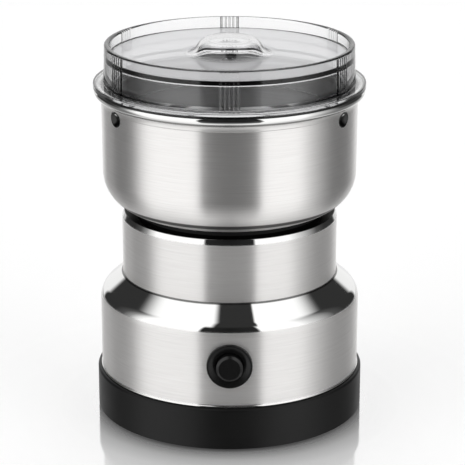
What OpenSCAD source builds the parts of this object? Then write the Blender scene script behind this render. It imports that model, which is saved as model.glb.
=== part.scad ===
// Electric spice grinder: a fixed steel bowl clamped on a drawn steel motor housing,
// a clear bayonet lid, a push button at the front and a series motor that hangs under the bowl.
// The front is towards -Y, the floor is z = 0 and the motor shaft stands on the Z axis.

/* [Base] */
// Outer radius of the black base at its foot
base_r = 52; // [47:0.5:60]
// Height of the black base
base_h = 16.4; // [15:0.1:22]
// Wall of the base below the seat of the housing's edge
base_wall = 4.4; // [4:0.1:6]
// Rounding of the base's upper edge
base_round = 1.1; // [0.4:0.1:1.2]
// Depth of the seat that the housing's edge stands in
seat_depth = 3; // [2:0.2:3.6]
// Height of the collar that stands up inside the housing
collar_h = 2.8; // [1:0.2:4]
// Wall of that collar
collar_t = 2; // [1.5:0.1:2.4]
// Thickness of the bottom cover
cover_t = 2.4; // [2:0.1:3]
// How far the bottom cover sits inside the base's lower edge
cover_inset = 0.4; // [0.2:0.1:1]
// Bevel of the base's lower edge
base_bevel = 0.4; // [0.2:0.1:1]
// Width of the ledge that the bottom cover is screwed against
cover_ledge = 1.4; // [1:0.1:2]
// Number of air slots in the bottom cover
vent_count = 20; // [12:1:24]
// Width of an air slot
vent_w = 2.2; // [1.5:0.1:2.4]
// Length of an air slot
vent_l = 13; // [8:0.5:15]
// Distance from the axis to the middle of the air slots
vent_r = 21; // [18:0.5:23]

/* [Feet and fasteners] */
// Number of rubber feet
foot_count = 4; // [3:1:6]
// Radius of a foot
foot_r = 5; // [3:0.5:6]
// How far the feet stand out below the base
foot_proud = 0.8; // [0.5:0.1:3]
// Depth of the pocket that a foot is glued into
foot_pocket = 1; // [0.6:0.1:1.4]
// Distance of a foot's middle from the base's edge
foot_inset = 13; // [11:0.5:15]
// Bevel of a foot's lower edge
foot_bevel = 0.4; // [0.2:0.1:0.7]
// Number of cover screws
screw_count = 4; // [3:1:6]
// Radius of a cover screw's thread
screw_r = 1.4; // [1:0.1:1.6]
// Radius of a cover screw's head
screw_head_r = 2.8; // [2.4:0.1:3.2]
// Height of a cover screw's head
screw_head_h = 1.2; // [0.8:0.1:1.4]
// Length of a cover screw's thread
screw_l = 9; // [6:0.5:10]
// Width of a cover screw's cross slot
screw_slot = 0.6; // [0.4:0.1:1]
// Radius of a screw boss
boss_r = 3.8; // [3:0.1:4.5]

/* [Cord inlet] */
// Radius of the hole for the cord
inlet_r = 3.3; // [2.5:0.1:3.5]
// Radius of the inlet bush where it passes through the wall
inlet_bush_r = 4.3; // [4:0.1:4.8]
// How far the inlet bush reaches inside the wall
inlet_inside = 1.5; // [1:0.1:3]
// Radius of the inlet's collar
inlet_collar_r = 6.4; // [5.6:0.1:7]
// How far the inlet's collar stands out
inlet_proud = 2.1; // [1:0.1:4]

/* [Motor housing] */
// How far the housing's lower wall stands in from the base's edge
base_step = 1.6; // [1.3:0.1:3]
// Sheet thickness of the housing
housing_t = 0.7; // [0.5:0.1:1]
// Height of the lower wall above the base, up to the start of the shoulder
wall_h = 27.8; // [25:0.1:34]
// Rounding at the outside of the shoulder
shoulder_round = 6.9; // [4:0.1:8]
// Slope of the shoulder against the level
shoulder_slope = 41; // [36:1:46]
// How far the neck stands in from the lower wall
neck_step = 8.8; // [7.8:0.1:10]
// Height of the neck above the shoulder, up to the underside of the bowl's joint
neck_h = 24.6; // [22:0.1:32]
// Width of the bevel at the top of the neck, seen from above
neck_bevel = 2.9; // [2:0.1:3.4]
// Slope of that bevel against the level
bevel_slope = 41; // [34:1:46]
// Rounding between the neck's wall and its bevel
neck_round = 1; // [0.9:0.1:2]
// Width of the flat ring at the top of the neck
neck_lip = 4.2; // [3.4:0.1:5]
// Thickness of the rolled edge above the base
edge_bead = 0.4; // [0.3:0.05:0.5]

/* [Bowl] */
// How far the bowl's wall stands out past the neck
bowl_over = 7.3; // [6.4:0.1:8.4]
// Amount by which the bowl narrows down to its rounded bottom
bowl_draft = 0.2; // [0:0.05:1]
// Height of the bowl from its bottom to the top of its rim
bowl_h = 47.8; // [43:0.1:60]
// Rounding of the bowl's bottom edge
bowl_round = 12; // [9:0.5:13]
// Sheet thickness of the bowl
bowl_t = 0.8; // [0.6:0.1:1]
// How far the rolled rim stands out past the bowl's wall
rim_over = 2.8; // [2.5:0.1:3.2]
// Radius of the rim's roll
roll_r = 1.8; // [1.5:0.1:2]
// Radius of the hollow between the wall and the rolled rim
flare_r = 3.4; // [2.6:0.1:3.6]
// Thickness of the gasket between the neck and the bowl
gasket_t = 1.6; // [1:0.1:3]
// Width of that gasket
gasket_w = 1.8; // [1.4:0.1:3]
// Diameter of a pressed dimple that holds the lid
dimple_d = 5.4; // [4:0.1:6]
// Depth of a dimple
dimple_depth = 1.5; // [1.2:0.1:1.8]
// Distance of the dimples' middle below the top of the rim
dimple_drop = 7.9; // [7.6:0.1:9]
// Number of dimples
dimple_count = 3; // [2:1:4]

/* [Lid] */
// How far the lid's wall stands in from the bowl's wall
lid_step = 1; // [0.6:0.1:1.8]
// Amount by which the lid's wall narrows up to its rim
lid_draft = 0.4; // [0:0.05:1]
// Height of the lid's wall above the flange
lid_h = 14.6; // [12:0.2:24]
// Wall thickness of the lid
lid_t = 2.1; // [1.7:0.1:2.4]
// Thickness of the lid's flange
flange_t = 1.4; // [1:0.1:2]
// How far the flange reaches past the bowl's rim
flange_over = 0.2; // [0:0.1:1]
// Depth of the lid's top below its rim
recess_depth = 4; // [3:0.1:6]
// Thickness of the lid's top
top_t = 2.1; // [1.5:0.1:2.4]
// Height of the dome above the lid's top
dome_h = 7; // [6:0.1:10]
// Radius of the arc over the dome's crown
crown_r = 29; // [24:0.5:34]
// Slope at which the crown runs into the tighter bend at its edge
crown_slope = 18; // [15:1:21]
// Radius of that bend
dome_bend = 6; // [5:0.1:7]
// Steepest slope of the dome's side
dome_slope = 62; // [54:1:70]
// Length of the skirt that enters the bowl
skirt_l = 13; // [12.9:0.1:16]
// Thickness of the skirt
skirt_t = 1.6; // [1.2:0.1:2]
// Number of fluted grips round the lid
grip_count = 6; // [3:1:8]
// How far a grip ends below the lid's rim
grip_drop = 0.6; // [0.5:0.1:2]
// Width of a grip
grip_w = 7.6; // [5:0.1:10]
// How far a grip stands out of the wall
grip_proud = 0.45; // [0.3:0.05:0.8]
// Number of flutes on a grip
flute_count = 5; // [3:1:6]
// Width of a flute
flute_w = 0.7; // [0.5:0.05:0.8]
// How far a flute stands out of its grip
flute_proud = 0.25; // [0.1:0.05:0.4]
// Turn from set down to locked, in degrees
lock_turn = 15; // [10:1:25]
// Turn between a dimple and its lug when the lid is set down, in degrees
lug_free = 2.5; // [1:0.1:4]
// Turn that the lug's stop leaves past the locked place, in degrees
lug_play = 1; // [0.5:0.1:2]
// Thickness of a locking lug
lug_t = 1.5; // [1:0.1:1.5]
// Length of a lug past its stop, in degrees
lug_tail = 4; // [2:0.5:6]
// Height of the seal ring under the flange
seal_h = 2.2; // [1.6:0.1:2.6]

/* [Push button] */
// Height of the button's middle above the floor
button_z = 34.1; // [32:0.1:38]
// Radius of the button's cap
cap_r = 5.05; // [4.5:0.05:6]
// How far the cap's face stands out of the housing
cap_proud = 3.7; // [3.2:0.1:6]
// Bevel round the cap's face
cap_bevel = 0.9; // [0.4:0.1:1.2]
// Travel of the button
cap_travel = 2.5; // [1.5:0.1:2.8]
// Radius of the stem between the cap and the switch
stem_r = 2.8; // [2:0.1:3.2]
// Radius of the spring's wire
spring_wire = 0.25; // [0.2:0.05:0.3]
// Depth of the spring's seat in the switch
spring_seat = 2; // [1:0.1:2.5]
// Radius of the dished bezel
bezel_r = 8.6; // [8.2:0.1:10]
// How far the bezel's rim stands out of the housing
bezel_proud = 1.1; // [0.8:0.1:2]
// Depth of the bezel's dish
dish_depth = 0.7; // [0.3:0.1:0.8]
// Radius of the bezel's barrel behind the wall
barrel_r = 6.8; // [6.4:0.1:7.6]
// Width of the bezel's flat lip round the dish
bezel_lip = 0.7; // [0.4:0.1:1.2]
// How far the bezel's barrel reaches past its nut
barrel_over = 1; // [0.5:0.1:2]
// Radius of the nut that holds the bezel
switch_nut_r = 9; // [8.4:0.1:10]
// Thickness of that nut
switch_nut_t = 2.4; // [2:0.1:3]
// Width and height of the switch body
switch_w = 14; // [13:0.5:15]
// Depth of the switch body
switch_d = 7.4; // [6.8:0.1:8]
// Width of a switch terminal
terminal_w = 2.4; // [2:0.1:3]
// Thickness of a switch terminal
terminal_t = 0.8; // [0.5:0.1:1]
// Length of a switch terminal
terminal_l = 6; // [4:0.5:8]

/* [Motor] */
// Radius of the motor shaft
shaft_r = 3; // [2.5:0.1:3.2]
// Outer radius of a bearing sleeve
bearing_r = 5; // [4.6:0.1:5.6]
// Length of a bearing sleeve
bearing_l = 7; // [5:0.5:7.5]
// Wall of the bush round the upper bearing
bushing_wall = 2; // [1.6:0.1:2.6]
// How far the bush's flange reaches over the bowl's floor
bushing_reach = 2.4; // [2:0.1:4]
// Thickness of the bush's flange
bushing_flange_t = 1.8; // [1.4:0.1:2.4]
// How far the bush reaches below its nut
bushing_below = 2.6; // [1.6:0.1:4]
// How far the bush's nut reaches out from the bush, to its corners
bushing_nut_w = 4.5; // [3:0.1:6]
// Thickness of the bush's nut
bushing_nut_t = 4; // [3:0.1:5]
// Thickness of the shaft seal
seal_t = 2.4; // [1.6:0.1:3]
// Gap between the stator stack and the housing's neck
stator_gap = 6.9; // [6:0.1:8]
// Radial width of the stator's yoke
yoke_w = 7; // [6:0.2:8]
// Height of the stator and armature stacks
stack_h = 24; // [18:1:25]
// Radial room for a field coil between the yoke and a pole shoe
coil_w = 7.4; // [6.4:0.1:9]
// Gap between the armature and the stator's poles
air_gap = 0.5; // [0.3:0.1:1]
// Gap between the armature's windings and the fan and commutator
winding_gap = 0.8; // [0.6:0.1:1.2]
// Radial thickness of a pole shoe
shoe_t = 3; // [2:0.2:3.6]
// Width of a pole's neck
pole_w = 14; // [10:0.5:18]
// Angle that a pole shoe spans
pole_angle = 116; // [100:2:124]
// Angle by which a field coil is narrower than its pole shoe
coil_step = 8; // [4:1:16]
// Height of a winding's end turns past the stack
end_turn_h = 5; // [3:0.5:5.4]
// Number of armature slots
slot_count = 12; // [8:1:14]
// Radius of an armature slot
slot_r = 1.9; // [1.5:0.1:2.1]
// Width of an armature slot's mouth
slot_mouth = 1.2; // [0.8:0.1:1.6]
// Depth of an armature slot's mouth
slot_lip = 1.2; // [0.8:0.1:1.6]
// Gap between the shaft and the bundle of the windings' end turns
winding_in = 1.5; // [1:0.1:2.5]
// Radius of the commutator
commutator_r = 8; // [7:0.2:9]
// Length of the commutator
commutator_l = 9.5; // [9:0.5:11]
// Depth and width of a cut between two commutator bars
bar_cut = 0.8; // [0.5:0.1:1]
// Gap between the cooling fan and the bracket's pillars
fan_gap = 4.2; // [3:0.1:8]
// Height of the cooling fan
fan_h = 6; // [4:0.5:6.2]
// Thickness of the fan's disc and blades
fan_t = 1.2; // [0.8:0.1:1.6]
// Wall of the fan's hub
fan_hub = 3; // [2:0.1:4]
// Number of fan blades
fan_blades = 11; // [7:1:15]
// Thickness of the upper motor bracket
bracket_t = 3; // [2.5:0.1:4]
// How far the upper bracket's rim and hub reach past what they carry
bracket_reach = 2; // [1:0.1:3]
// Width of a bracket's arms
arm_w = 9; // [7:0.5:11]
// Thickness of the lower motor bracket
lower_t = 3; // [2.5:0.1:3.2]
// How far the lower bearing's housing hangs below the lower bracket
hub_drop = 4.4; // [3:0.1:4.6]
// Wall round the lower bearing
hub_wall = 2.5; // [2:0.1:4]
// Floor under the lower bearing
hub_floor = 1; // [0.8:0.1:1.4]
// Radius of a motor screw
motor_screw_r = 1.9; // [1.5:0.1:2.2]
// How far a motor screw's head reaches past its thread
motor_head = 1.6; // [1.2:0.1:2.4]
// Height of a motor screw's head
motor_head_h = 2; // [1.6:0.1:2.4]
// Wall of a bracket's pillar round its screw
pillar_wall = 2.4; // [2:0.1:3]
// Width of a carbon brush
brush_w = 4; // [3:0.2:5]
// Height of a carbon brush
brush_h = 6; // [5:0.2:6.4]
// Length of a carbon brush
brush_l = 9; // [7:0.5:10]
// Wall of a brush holder
holder_t = 0.8; // [0.6:0.1:1]
// Length of a brush holder
holder_l = 16; // [15:0.5:17]
// Gap between a brush holder and the commutator
holder_gap = 1.4; // [1:0.1:2]
// Gap between the commutator and the lower bracket
commutator_gap = 2.8; // [2:0.1:4]
// Radius of a brush spring's wire
brush_wire = 0.3; // [0.2:0.05:0.4]

/* [Blade] */
// Radius that the long blades reach
blade_r = 34; // [28:0.5:38]
// Radius that the short blades reach
short_blade_r = 27; // [20:0.5:32]
// Thickness of the blades
blade_t = 1.2; // [0.8:0.1:1.4]
// Width of a blade at its root
blade_w = 9; // [7:0.5:10]
// Upward bend of the long blades, in degrees
blade_rise = 14; // [5:1:20]
// Downward bend of the short blades, in degrees
blade_fall = 5; // [2:1:7]
// Height of the blades' hub above the bush's flange
blade_lift = 3.6; // [3.2:0.1:5]
// Radius of the blades' hub
hub_r = 6.5; // [6:0.1:7.5]
// Distance from the hub at which a blade's grinding starts
grind_from = 2; // [1:0.1:4]
// Width of the ground edge
grind_w = 2.6; // [1.8:0.1:3.2]
// Thickness that is left at the cutting edge
edge_land = 0.25; // [0.15:0.05:0.4]
// How far the spacer and the washer stand in from the hub's edge
washer_step = 1; // [0.5:0.1:1.5]
// Thickness of the washer on the blades
washer_t = 1; // [0.8:0.1:1.5]
// Amount by which the shaft's thread is thinner than the shaft
thread_step = 0.5; // [0.3:0.1:0.8]
// Width of the blade nut across its flats
nut_af = 8; // [7:0.1:9]
// Height of the blade nut's hexagon
nut_h = 4; // [3:0.1:5]
// Gap under the spacer, and over the shaft's end in its nut
end_gap = 0.5; // [0.3:0.1:1]

/* [Clearances] */
// Radial running gap of the shaft in its bearings and seal
run_gap = 0.03; // [0.02:0.01:0.06]
// Gap round pieces that are pressed or screwed into a hole
press_gap = 0.1; // [0.05:0.05:0.2]
// Gap between pieces that are fitted by hand
fit_gap = 0.2; // [0.1:0.05:0.3]
// Gap between pieces that move past each other
move_gap = 0.3; // [0.2:0.05:0.4]

/* [Hidden] */
$fn = 64;
arc_steps = 8;
cut = 1;

// Heights, from the floor up
base_z = foot_proud;
cover_z = base_z + cover_inset;
cover_top = cover_z + cover_t;
base_top = base_z + base_h;
seat_z = base_top - seat_depth;
inlet_z = (cover_top + seat_z) / 2;

// Radii of the outside, from the base up
housing_r = base_r - base_step;
housing_in = housing_r - housing_t;
neck_r = housing_r - neck_step;
bowl_r = neck_r + bowl_over;
rim_r = bowl_r + rim_over;
lid_r = bowl_r - lid_step;

// Housing: the shoulder and the neck's bevel both turn in from an upright wall
shoulder_z = base_top + wall_h;
shoulder_turn = 90 - shoulder_slope;
shoulder_c = housing_r - shoulder_round;
neck_z = shoulder_z + shoulder_round * sin(shoulder_turn)
    + (shoulder_c + shoulder_round * cos(shoulder_turn) - neck_r) * tan(shoulder_slope);
neck_top = neck_z + neck_h;
bevel_turn = 90 - bevel_slope;
bevel_z = neck_top - neck_bevel * tan(bevel_slope) - neck_round * tan(bevel_turn / 2);
neck_edge_r = neck_r - neck_bevel;
lip_r = neck_edge_r - neck_lip;
gasket_r = lip_r + gasket_w;

// Base: the seat's walls stand on both sides of the housing's edge
seat_out = housing_r + press_gap;
seat_in = housing_in - fit_gap;
base_in = base_r - base_wall;
base_edge = min(base_round, base_r - seat_out);
cover_r = base_in + cover_ledge - fit_gap;
boss_ring_r = base_in - boss_r + cover_ledge / 2;
boss_z = cover_top + press_gap;
boss_h = screw_l + screw_r / 2;
foot_ring_r = base_r - foot_inset;

// Bowl
bowl_z = neck_top + gasket_t;
bowl_floor = bowl_z + bowl_t;
rim_z = bowl_z + bowl_h;
roll_c = rim_r - roll_r;
flare_sink = 0.4 * roll_r;
flare_turn = 60;
dimple_z = rim_z - dimple_drop;

// A dimple is part of a ball whose middle lies outside the bowl
dimple_ball = (dimple_d * dimple_d / 4 + dimple_depth * dimple_depth) / (2 * dimple_depth);
dimple_c = bowl_r + dimple_ball - dimple_depth;
nub_r = bowl_r - dimple_depth - bowl_t;
nub_ball = dimple_ball + bowl_t;

// Lid
flange_z = rim_z;
flange_top = flange_z + flange_t;
flange_r = rim_r + flange_over;
lid_top = flange_top + lid_h;
lid_edge_r = lid_r - lid_draft;
recess_r = lid_edge_r - lid_t;
top_z = lid_top - recess_depth;
skirt_r = nub_r - move_gap;
skirt_z = flange_z - skirt_l;
bowl_mouth_r = bowl_r - bowl_draft - bowl_t - fit_gap;
nub_drop = sqrt(nub_ball * nub_ball - (dimple_c - bowl_mouth_r) * (dimple_c - bowl_mouth_r));
nub_angle = asin(nub_drop / bowl_mouth_r);
lug_top = dimple_z - nub_drop - move_gap;
lug_z = lug_top - lug_t;
lug_start = nub_angle + lug_free;
lug_stop = nub_angle + lock_turn + lug_play;
lug_end = lug_stop + lug_tail;
grip_angle = 2 * asin(grip_w / 2 / lid_r);
flute_angle = 2 * asin(flute_w / 2 / lid_r);

// The dome's outline is a crown, a tighter bend and a hollow foot, each running into the next
crown_z = top_z + dome_h - crown_r;
bend_c = [0, crown_z] + polar(crown_r - dome_bend, 90 - crown_slope);
dome_foot = (bend_c[1] + dome_bend * cos(dome_slope) - top_z) / (1 - cos(dome_slope));
foot_c = bend_c + polar(dome_bend + dome_foot, 90 - dome_slope);

// Push button, measured along Y from the axis of the grinder
bezel_face = -(housing_r + bezel_proud);
cap_face = -(housing_r + cap_proud);
nut_face = -(sqrt(housing_in * housing_in - switch_nut_r * switch_nut_r) - move_gap);
barrel_back = nut_face + switch_nut_t + barrel_over;
switch_back = barrel_back + switch_d;
cap_back = barrel_back - cap_travel - 2 * move_gap;
stem_room = cap_travel + spring_seat + end_gap;
spring_r = (cap_r + stem_r) / 2;

// Motor, measured down from the bowl that it hangs from
bracket_z = neck_top - housing_t - bracket_t;
bushing_r = bearing_r + bushing_wall;
bushing_nut_r = bushing_r + bushing_nut_w;
bushing_top = bowl_floor + bushing_flange_t;
bushing_z = bracket_z - bushing_nut_t - bushing_below;
fan_top = bushing_z - winding_gap;
fan_z = fan_top - fan_h;
stack_top = fan_z - end_turn_h - winding_gap;
stack_z = stack_top - stack_h;
commutator_top = stack_z - end_turn_h - winding_gap;
commutator_z = commutator_top - commutator_l;
lower_z = commutator_z - lower_t - commutator_gap;
hub_z = lower_z - hub_drop;
lower_bearing_z = hub_z + hub_floor;
shaft_z = lower_bearing_z + move_gap;
stator_r = neck_r - housing_t - stator_gap;
yoke_in = stator_r - yoke_w;
pole_r = yoke_in - coil_w - shoe_t;
armature_r = pole_r - air_gap;
screw_ring_r = stator_r - yoke_w / 2;
pillar_r = motor_screw_r + pillar_wall;
fan_r = screw_ring_r - pillar_r - fan_gap;
coil_in = pole_r + shoe_t + fit_gap;
coil_out = yoke_in - fit_gap;
coil_angle = pole_angle - coil_step;
slot_ring_r = armature_r - slot_r - slot_lip;
brush_z = commutator_z + commutator_l / 2;
brush_face = commutator_r + press_gap;
holder_start = commutator_r + holder_gap;
holder_z = brush_z - brush_h / 2 - holder_t;

// Blades
spacer_z = bushing_top + end_gap;
blade_z = bushing_top + blade_lift;
washer_z = blade_z + 2 * blade_t;
washer_r = hub_r - washer_step;
thread_r = shaft_r - thread_step;
nut_z = washer_z + washer_t;
nut_dome = nut_af / 2 - washer_step / 2;

// Points of an arc about c, from angle a0 to a1
function arc(c, r, a0, a1) =
    [for (i = [0 : arc_steps]) let (a = a0 + (a1 - a0) * i / arc_steps) c + r * [cos(a), sin(a)]];

function polar(r, a) = r * [cos(a), sin(a)];

function reversed(p) = [for (i = [len(p) - 1 : -1 : 0]) p[i]];

// A wall between an outline and the same outline set in by the wall's thickness
module revolved_wall(outer, inner) rotate_extrude() polygon(concat(outer, reversed(inner)));

module ring(r_out, r_in, h) difference() {
    cylinder(r = r_out, h = h);
    translate([0, 0, -cut]) cylinder(r = r_in, h = h + 2 * cut);
}

// Repeats its child round the Z axis
module around(count, first = 0) for (i = [0 : count - 1]) rotate(first + i * 360 / count) children();

// Turns a piece that is built up along Z so that it runs from the front towards +Y
module facing_back(y, z) translate([0, y, z]) rotate([-90, 0, 0]) children();

// A coil spring along Z: a round wire swept along a helix, with flat-cut ends
module coil_spring(r, wire_r, length, turns) {
    sides = 6;
    steps = 10 * turns;
    ring_points = [for (i = [0 : steps]) let (
            a = 360 * turns * i / steps,
            z = wire_r + (length - 2 * wire_r) * i / steps)
        for (j = [0 : sides - 1]) let (b = 360 * j / sides)
            [(r + wire_r * cos(b)) * cos(a), (r + wire_r * cos(b)) * sin(a), z + wire_r * sin(b)]];
    skin = [for (i = [0 : steps - 1], j = [0 : sides - 1])
        let (k = (j + 1) % sides, a = i * sides, b = a + sides)
        each [[a + j, b + j, b + k], [a + j, b + k, a + k]]];
    start = [for (j = [0 : sides - 1]) j];
    end = [for (j = [sides - 1 : -1 : 0]) steps * sides + j];
    polyhedron(ring_points, concat(skin, [start, end]));
}

// Outline of the housing, set in by t
function housing_outline(t) = concat(
    [[housing_r - t, seat_z]],
    arc([shoulder_c, shoulder_z], shoulder_round - t, 0, shoulder_turn),
    [[neck_r - t, shoulder_z + (shoulder_round - t) * sin(shoulder_turn)
        + (shoulder_c + (shoulder_round - t) * cos(shoulder_turn) - neck_r + t) * tan(shoulder_slope)]],
    arc([neck_r - neck_round, bevel_z], neck_round - t, 0, bevel_turn),
    [[neck_edge_r - t * tan(bevel_slope / 2), neck_top - t], [lip_r, neck_top - t]]);

// Outline of the bowl from its middle hole to the roll of its rim, set in by t
function bowl_outline(t) = concat(
    [[bushing_r + press_gap, bowl_z + t]],
    arc([bowl_r - bowl_draft - bowl_round, bowl_z + bowl_round], bowl_round - t, -90, 0),
    arc([bowl_r + flare_r, rim_z - 2 * roll_r - flare_r + flare_sink], flare_r + t, 180, 180 - flare_turn));

module base_ring() color("#1b1b1c") difference() {
    union() {
        rotate_extrude() polygon(concat(
            [[base_in, cover_top], [base_in + cover_ledge, cover_top], [base_in + cover_ledge, base_z],
                [base_r - base_bevel, base_z], [base_r, base_z + base_bevel]],
            arc([base_r - base_edge, base_top - base_edge], base_edge, 0, 90),
            [[seat_out, base_top], [seat_out, seat_z], [seat_in, seat_z], [seat_in, base_top + collar_h],
                [seat_in - collar_t, base_top + collar_h], [base_in, seat_z - collar_t]]));
        around(screw_count, 45) translate([boss_ring_r, 0, boss_z]) cylinder(r = boss_r, h = boss_h);
    }
    around(screw_count, 45) translate([boss_ring_r, 0, boss_z - cut])
        cylinder(r = screw_r, h = screw_l + cut);
    facing_back(base_in - 2 * boss_r, inlet_z) cylinder(r = inlet_bush_r + press_gap, h = base_r);
}

module bottom_cover() color("#222224") difference() {
    translate([0, 0, cover_z]) cylinder(r = cover_r, h = cover_t);
    around(vent_count) translate([vent_r, 0, cover_z - cut]) vent_slot();
    around(foot_count) translate([foot_ring_r, 0, cover_z - cut])
        cylinder(r = foot_r + press_gap, h = foot_pocket + cut);
    around(screw_count, 45) translate([boss_ring_r, 0, cover_z - cut]) {
        cylinder(r = screw_r + fit_gap, h = cover_t + 2 * cut);
        cylinder(r = screw_head_r + fit_gap, h = screw_head_h + cut);
    }
}

module vent_slot() {
    end_x = (vent_l - vent_w) / 2;
    translate([-end_x, -vent_w / 2, 0]) cube([2 * end_x, vent_w, cover_t + 2 * cut]);
    for (x = [-end_x, end_x]) translate([x, 0, 0]) cylinder(d = vent_w, h = cover_t + 2 * cut);
}

module rubber_feet() color("#101011") around(foot_count) translate([foot_ring_r, 0, 0]) {
    cylinder(r1 = foot_r - foot_bevel, r2 = foot_r, h = foot_bevel);
    translate([0, 0, foot_bevel]) cylinder(r = foot_r, h = cover_z + foot_pocket - foot_bevel);
}

module cover_screws() color("#8d8f92")
    around(screw_count, 45) translate([boss_ring_r, 0, cover_z]) difference() {
        union() {
            cylinder(r = screw_head_r, h = screw_head_h);
            cylinder(r = screw_r, h = cover_t + screw_l - press_gap);
        }
        for (a = [0, 90]) rotate(a) translate([-screw_r, -screw_slot / 2, -cut])
            cube([2 * screw_r, screw_slot, screw_head_h / 2 + cut]);
    }

// The inlet bush has a collar that is curved to the outside of the wall
module cord_gland() color("#161617") difference() {
    bush_l = base_r + inlet_proud - base_in + inlet_inside;
    union() {
        facing_back(base_in - inlet_inside, inlet_z) cylinder(r = inlet_bush_r, h = bush_l);
        difference() {
            facing_back(base_in, inlet_z) cylinder(r = inlet_collar_r, h = base_r + inlet_proud - base_in);
            cylinder(r = base_r + press_gap / 4, h = base_top);
        }
    }
    facing_back(0, inlet_z) cylinder(r = inlet_r, h = base_r + inlet_proud + cut);
}

module motor_housing() color("#c9c9c8") difference() {
    union() {
        revolved_wall(housing_outline(0), housing_outline(housing_t));
        translate([0, 0, base_top + edge_bead]) rotate_extrude()
            translate([housing_r - edge_bead / 4, 0]) circle(r = edge_bead, $fn = 24);
    }
    facing_back(-housing_r - cut, button_z) cylinder(r = barrel_r + press_gap, h = housing_r / 2);
}

// The bowl is one drawn sheet: floor, rounded edge, wall, flared mouth and rolled rim
module bowl() color("#cfcfce") difference() {
    union() {
        revolved_wall(bowl_outline(0), bowl_outline(bowl_t));
        translate([0, 0, rim_z - roll_r]) rotate_extrude() translate([roll_c, 0])
            circle(r = roll_r, $fn = 32);
        intersection() {
            around(dimple_count, 90) translate([dimple_c, 0, dimple_z]) sphere(r = nub_ball, $fn = 48);
            translate([0, 0, dimple_z - 2 * nub_ball]) cylinder(r = bowl_r - bowl_t / 4, h = 4 * nub_ball);
        }
    }
    around(dimple_count, 90) translate([dimple_c, 0, dimple_z]) sphere(r = dimple_ball, $fn = 48);
}

module bowl_gasket() color("#0e0e0f") translate([0, 0, neck_top]) ring(gasket_r, lip_r, gasket_t);

// The bush's flange lies on the bowl's floor, and its nut pulls the bowl and the bracket together
module bowl_bushing() color("#b9bbbd") difference() {
    flange_edge = bushing_r + bushing_reach;
    union() {
        translate([0, 0, bushing_z]) cylinder(r = bushing_r, h = bushing_top - bushing_z);
        translate([0, 0, bowl_floor]) cylinder(r = flange_edge, h = bushing_flange_t / 2);
        translate([0, 0, bowl_floor + bushing_flange_t / 2])
            cylinder(r1 = flange_edge, r2 = flange_edge - bushing_reach / 2, h = bushing_flange_t / 2);
    }
    translate([0, 0, bushing_z - cut]) cylinder(r = bearing_r, h = bushing_top - bushing_z + 2 * cut);
}

module bushing_nut() color("#a9abad") translate([0, 0, bracket_z - bushing_nut_t]) difference() {
    cylinder(r = bushing_nut_r, h = bushing_nut_t, $fn = 6);
    translate([0, 0, -cut]) cylinder(r = bushing_r, h = bushing_nut_t + 2 * cut);
}

module shaft_seal() color("#2a2a2b") translate([0, 0, bushing_top - seal_t])
    ring(bearing_r, shaft_r + run_gap, seal_t);

module bearing_top() color("#b58a4a") translate([0, 0, bushing_z])
    ring(bearing_r, shaft_r + run_gap, bearing_l);

module bearing_bottom() color("#b58a4a") translate([0, 0, lower_bearing_z])
    ring(bearing_r, shaft_r + run_gap, bearing_l);

// Wheel-shaped carrier in the neck: rim under the housing's lip, arms, hub and two pillars
module motor_bracket_top() color("#3a3b3d") difference() {
    union() {
        translate([0, 0, bracket_z]) ring(neck_edge_r - housing_t - fit_gap, lip_r - bracket_reach, bracket_t);
        translate([0, 0, bracket_z]) cylinder(r = bushing_nut_r + bracket_reach / 2, h = bowl_z - bracket_z);
        around(4) translate([0, -arm_w / 2, bracket_z]) cube([lip_r, arm_w, bracket_t]);
        around(2) translate([screw_ring_r, 0, stack_top]) cylinder(r = pillar_r, h = bracket_z - stack_top);
    }
    translate([0, 0, bracket_z - cut]) cylinder(r = bushing_r, h = bowl_z - bracket_z + 2 * cut);
    around(2) translate([screw_ring_r, 0, stack_top - cut])
        cylinder(r = motor_screw_r, h = bracket_z - stack_top + cut);
}

module motor_bracket_bottom() color("#3a3b3d") difference() {
    union() {
        translate([-screw_ring_r, -arm_w / 2, lower_z]) cube([2 * screw_ring_r, arm_w, lower_t]);
        translate([-arm_w / 2, -holder_start - holder_l, lower_z])
            cube([arm_w, 2 * (holder_start + holder_l), lower_t]);
        translate([0, 0, hub_z]) cylinder(r = bearing_r + hub_wall, h = lower_z + lower_t - hub_z);
        around(2) translate([screw_ring_r, 0, lower_z]) cylinder(r = pillar_r, h = stack_z - lower_z);
        around(2, 90) translate([holder_start, -brush_w / 2 - holder_t, lower_z])
            cube([holder_l, brush_w + 2 * holder_t, holder_z - lower_z]);
    }
    translate([0, 0, lower_bearing_z]) cylinder(r = bearing_r, h = stack_z - lower_bearing_z);
    around(2) translate([screw_ring_r, 0, lower_z - cut])
        cylinder(r = motor_screw_r, h = stack_z - lower_z + 2 * cut);
}

module motor_screws() color("#9a9c9f") around(2) translate([screw_ring_r, 0, lower_z]) difference() {
    union() {
        translate([0, 0, -motor_head_h]) cylinder(r = motor_screw_r + motor_head, h = motor_head_h);
        cylinder(r = motor_screw_r, h = bracket_z - lower_z - motor_head_h);
    }
    translate([-motor_screw_r, -screw_slot / 2, -motor_head_h - cut])
        cube([2 * motor_screw_r, screw_slot, motor_head_h / 2 + cut]);
}

// A sector of a ring between two radii, centred on the +X direction
module sector(r_out, r_in, angle, h) rotate(-angle / 2) rotate_extrude(angle = angle)
    translate([r_in, 0]) square([r_out - r_in, h]);

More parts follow.
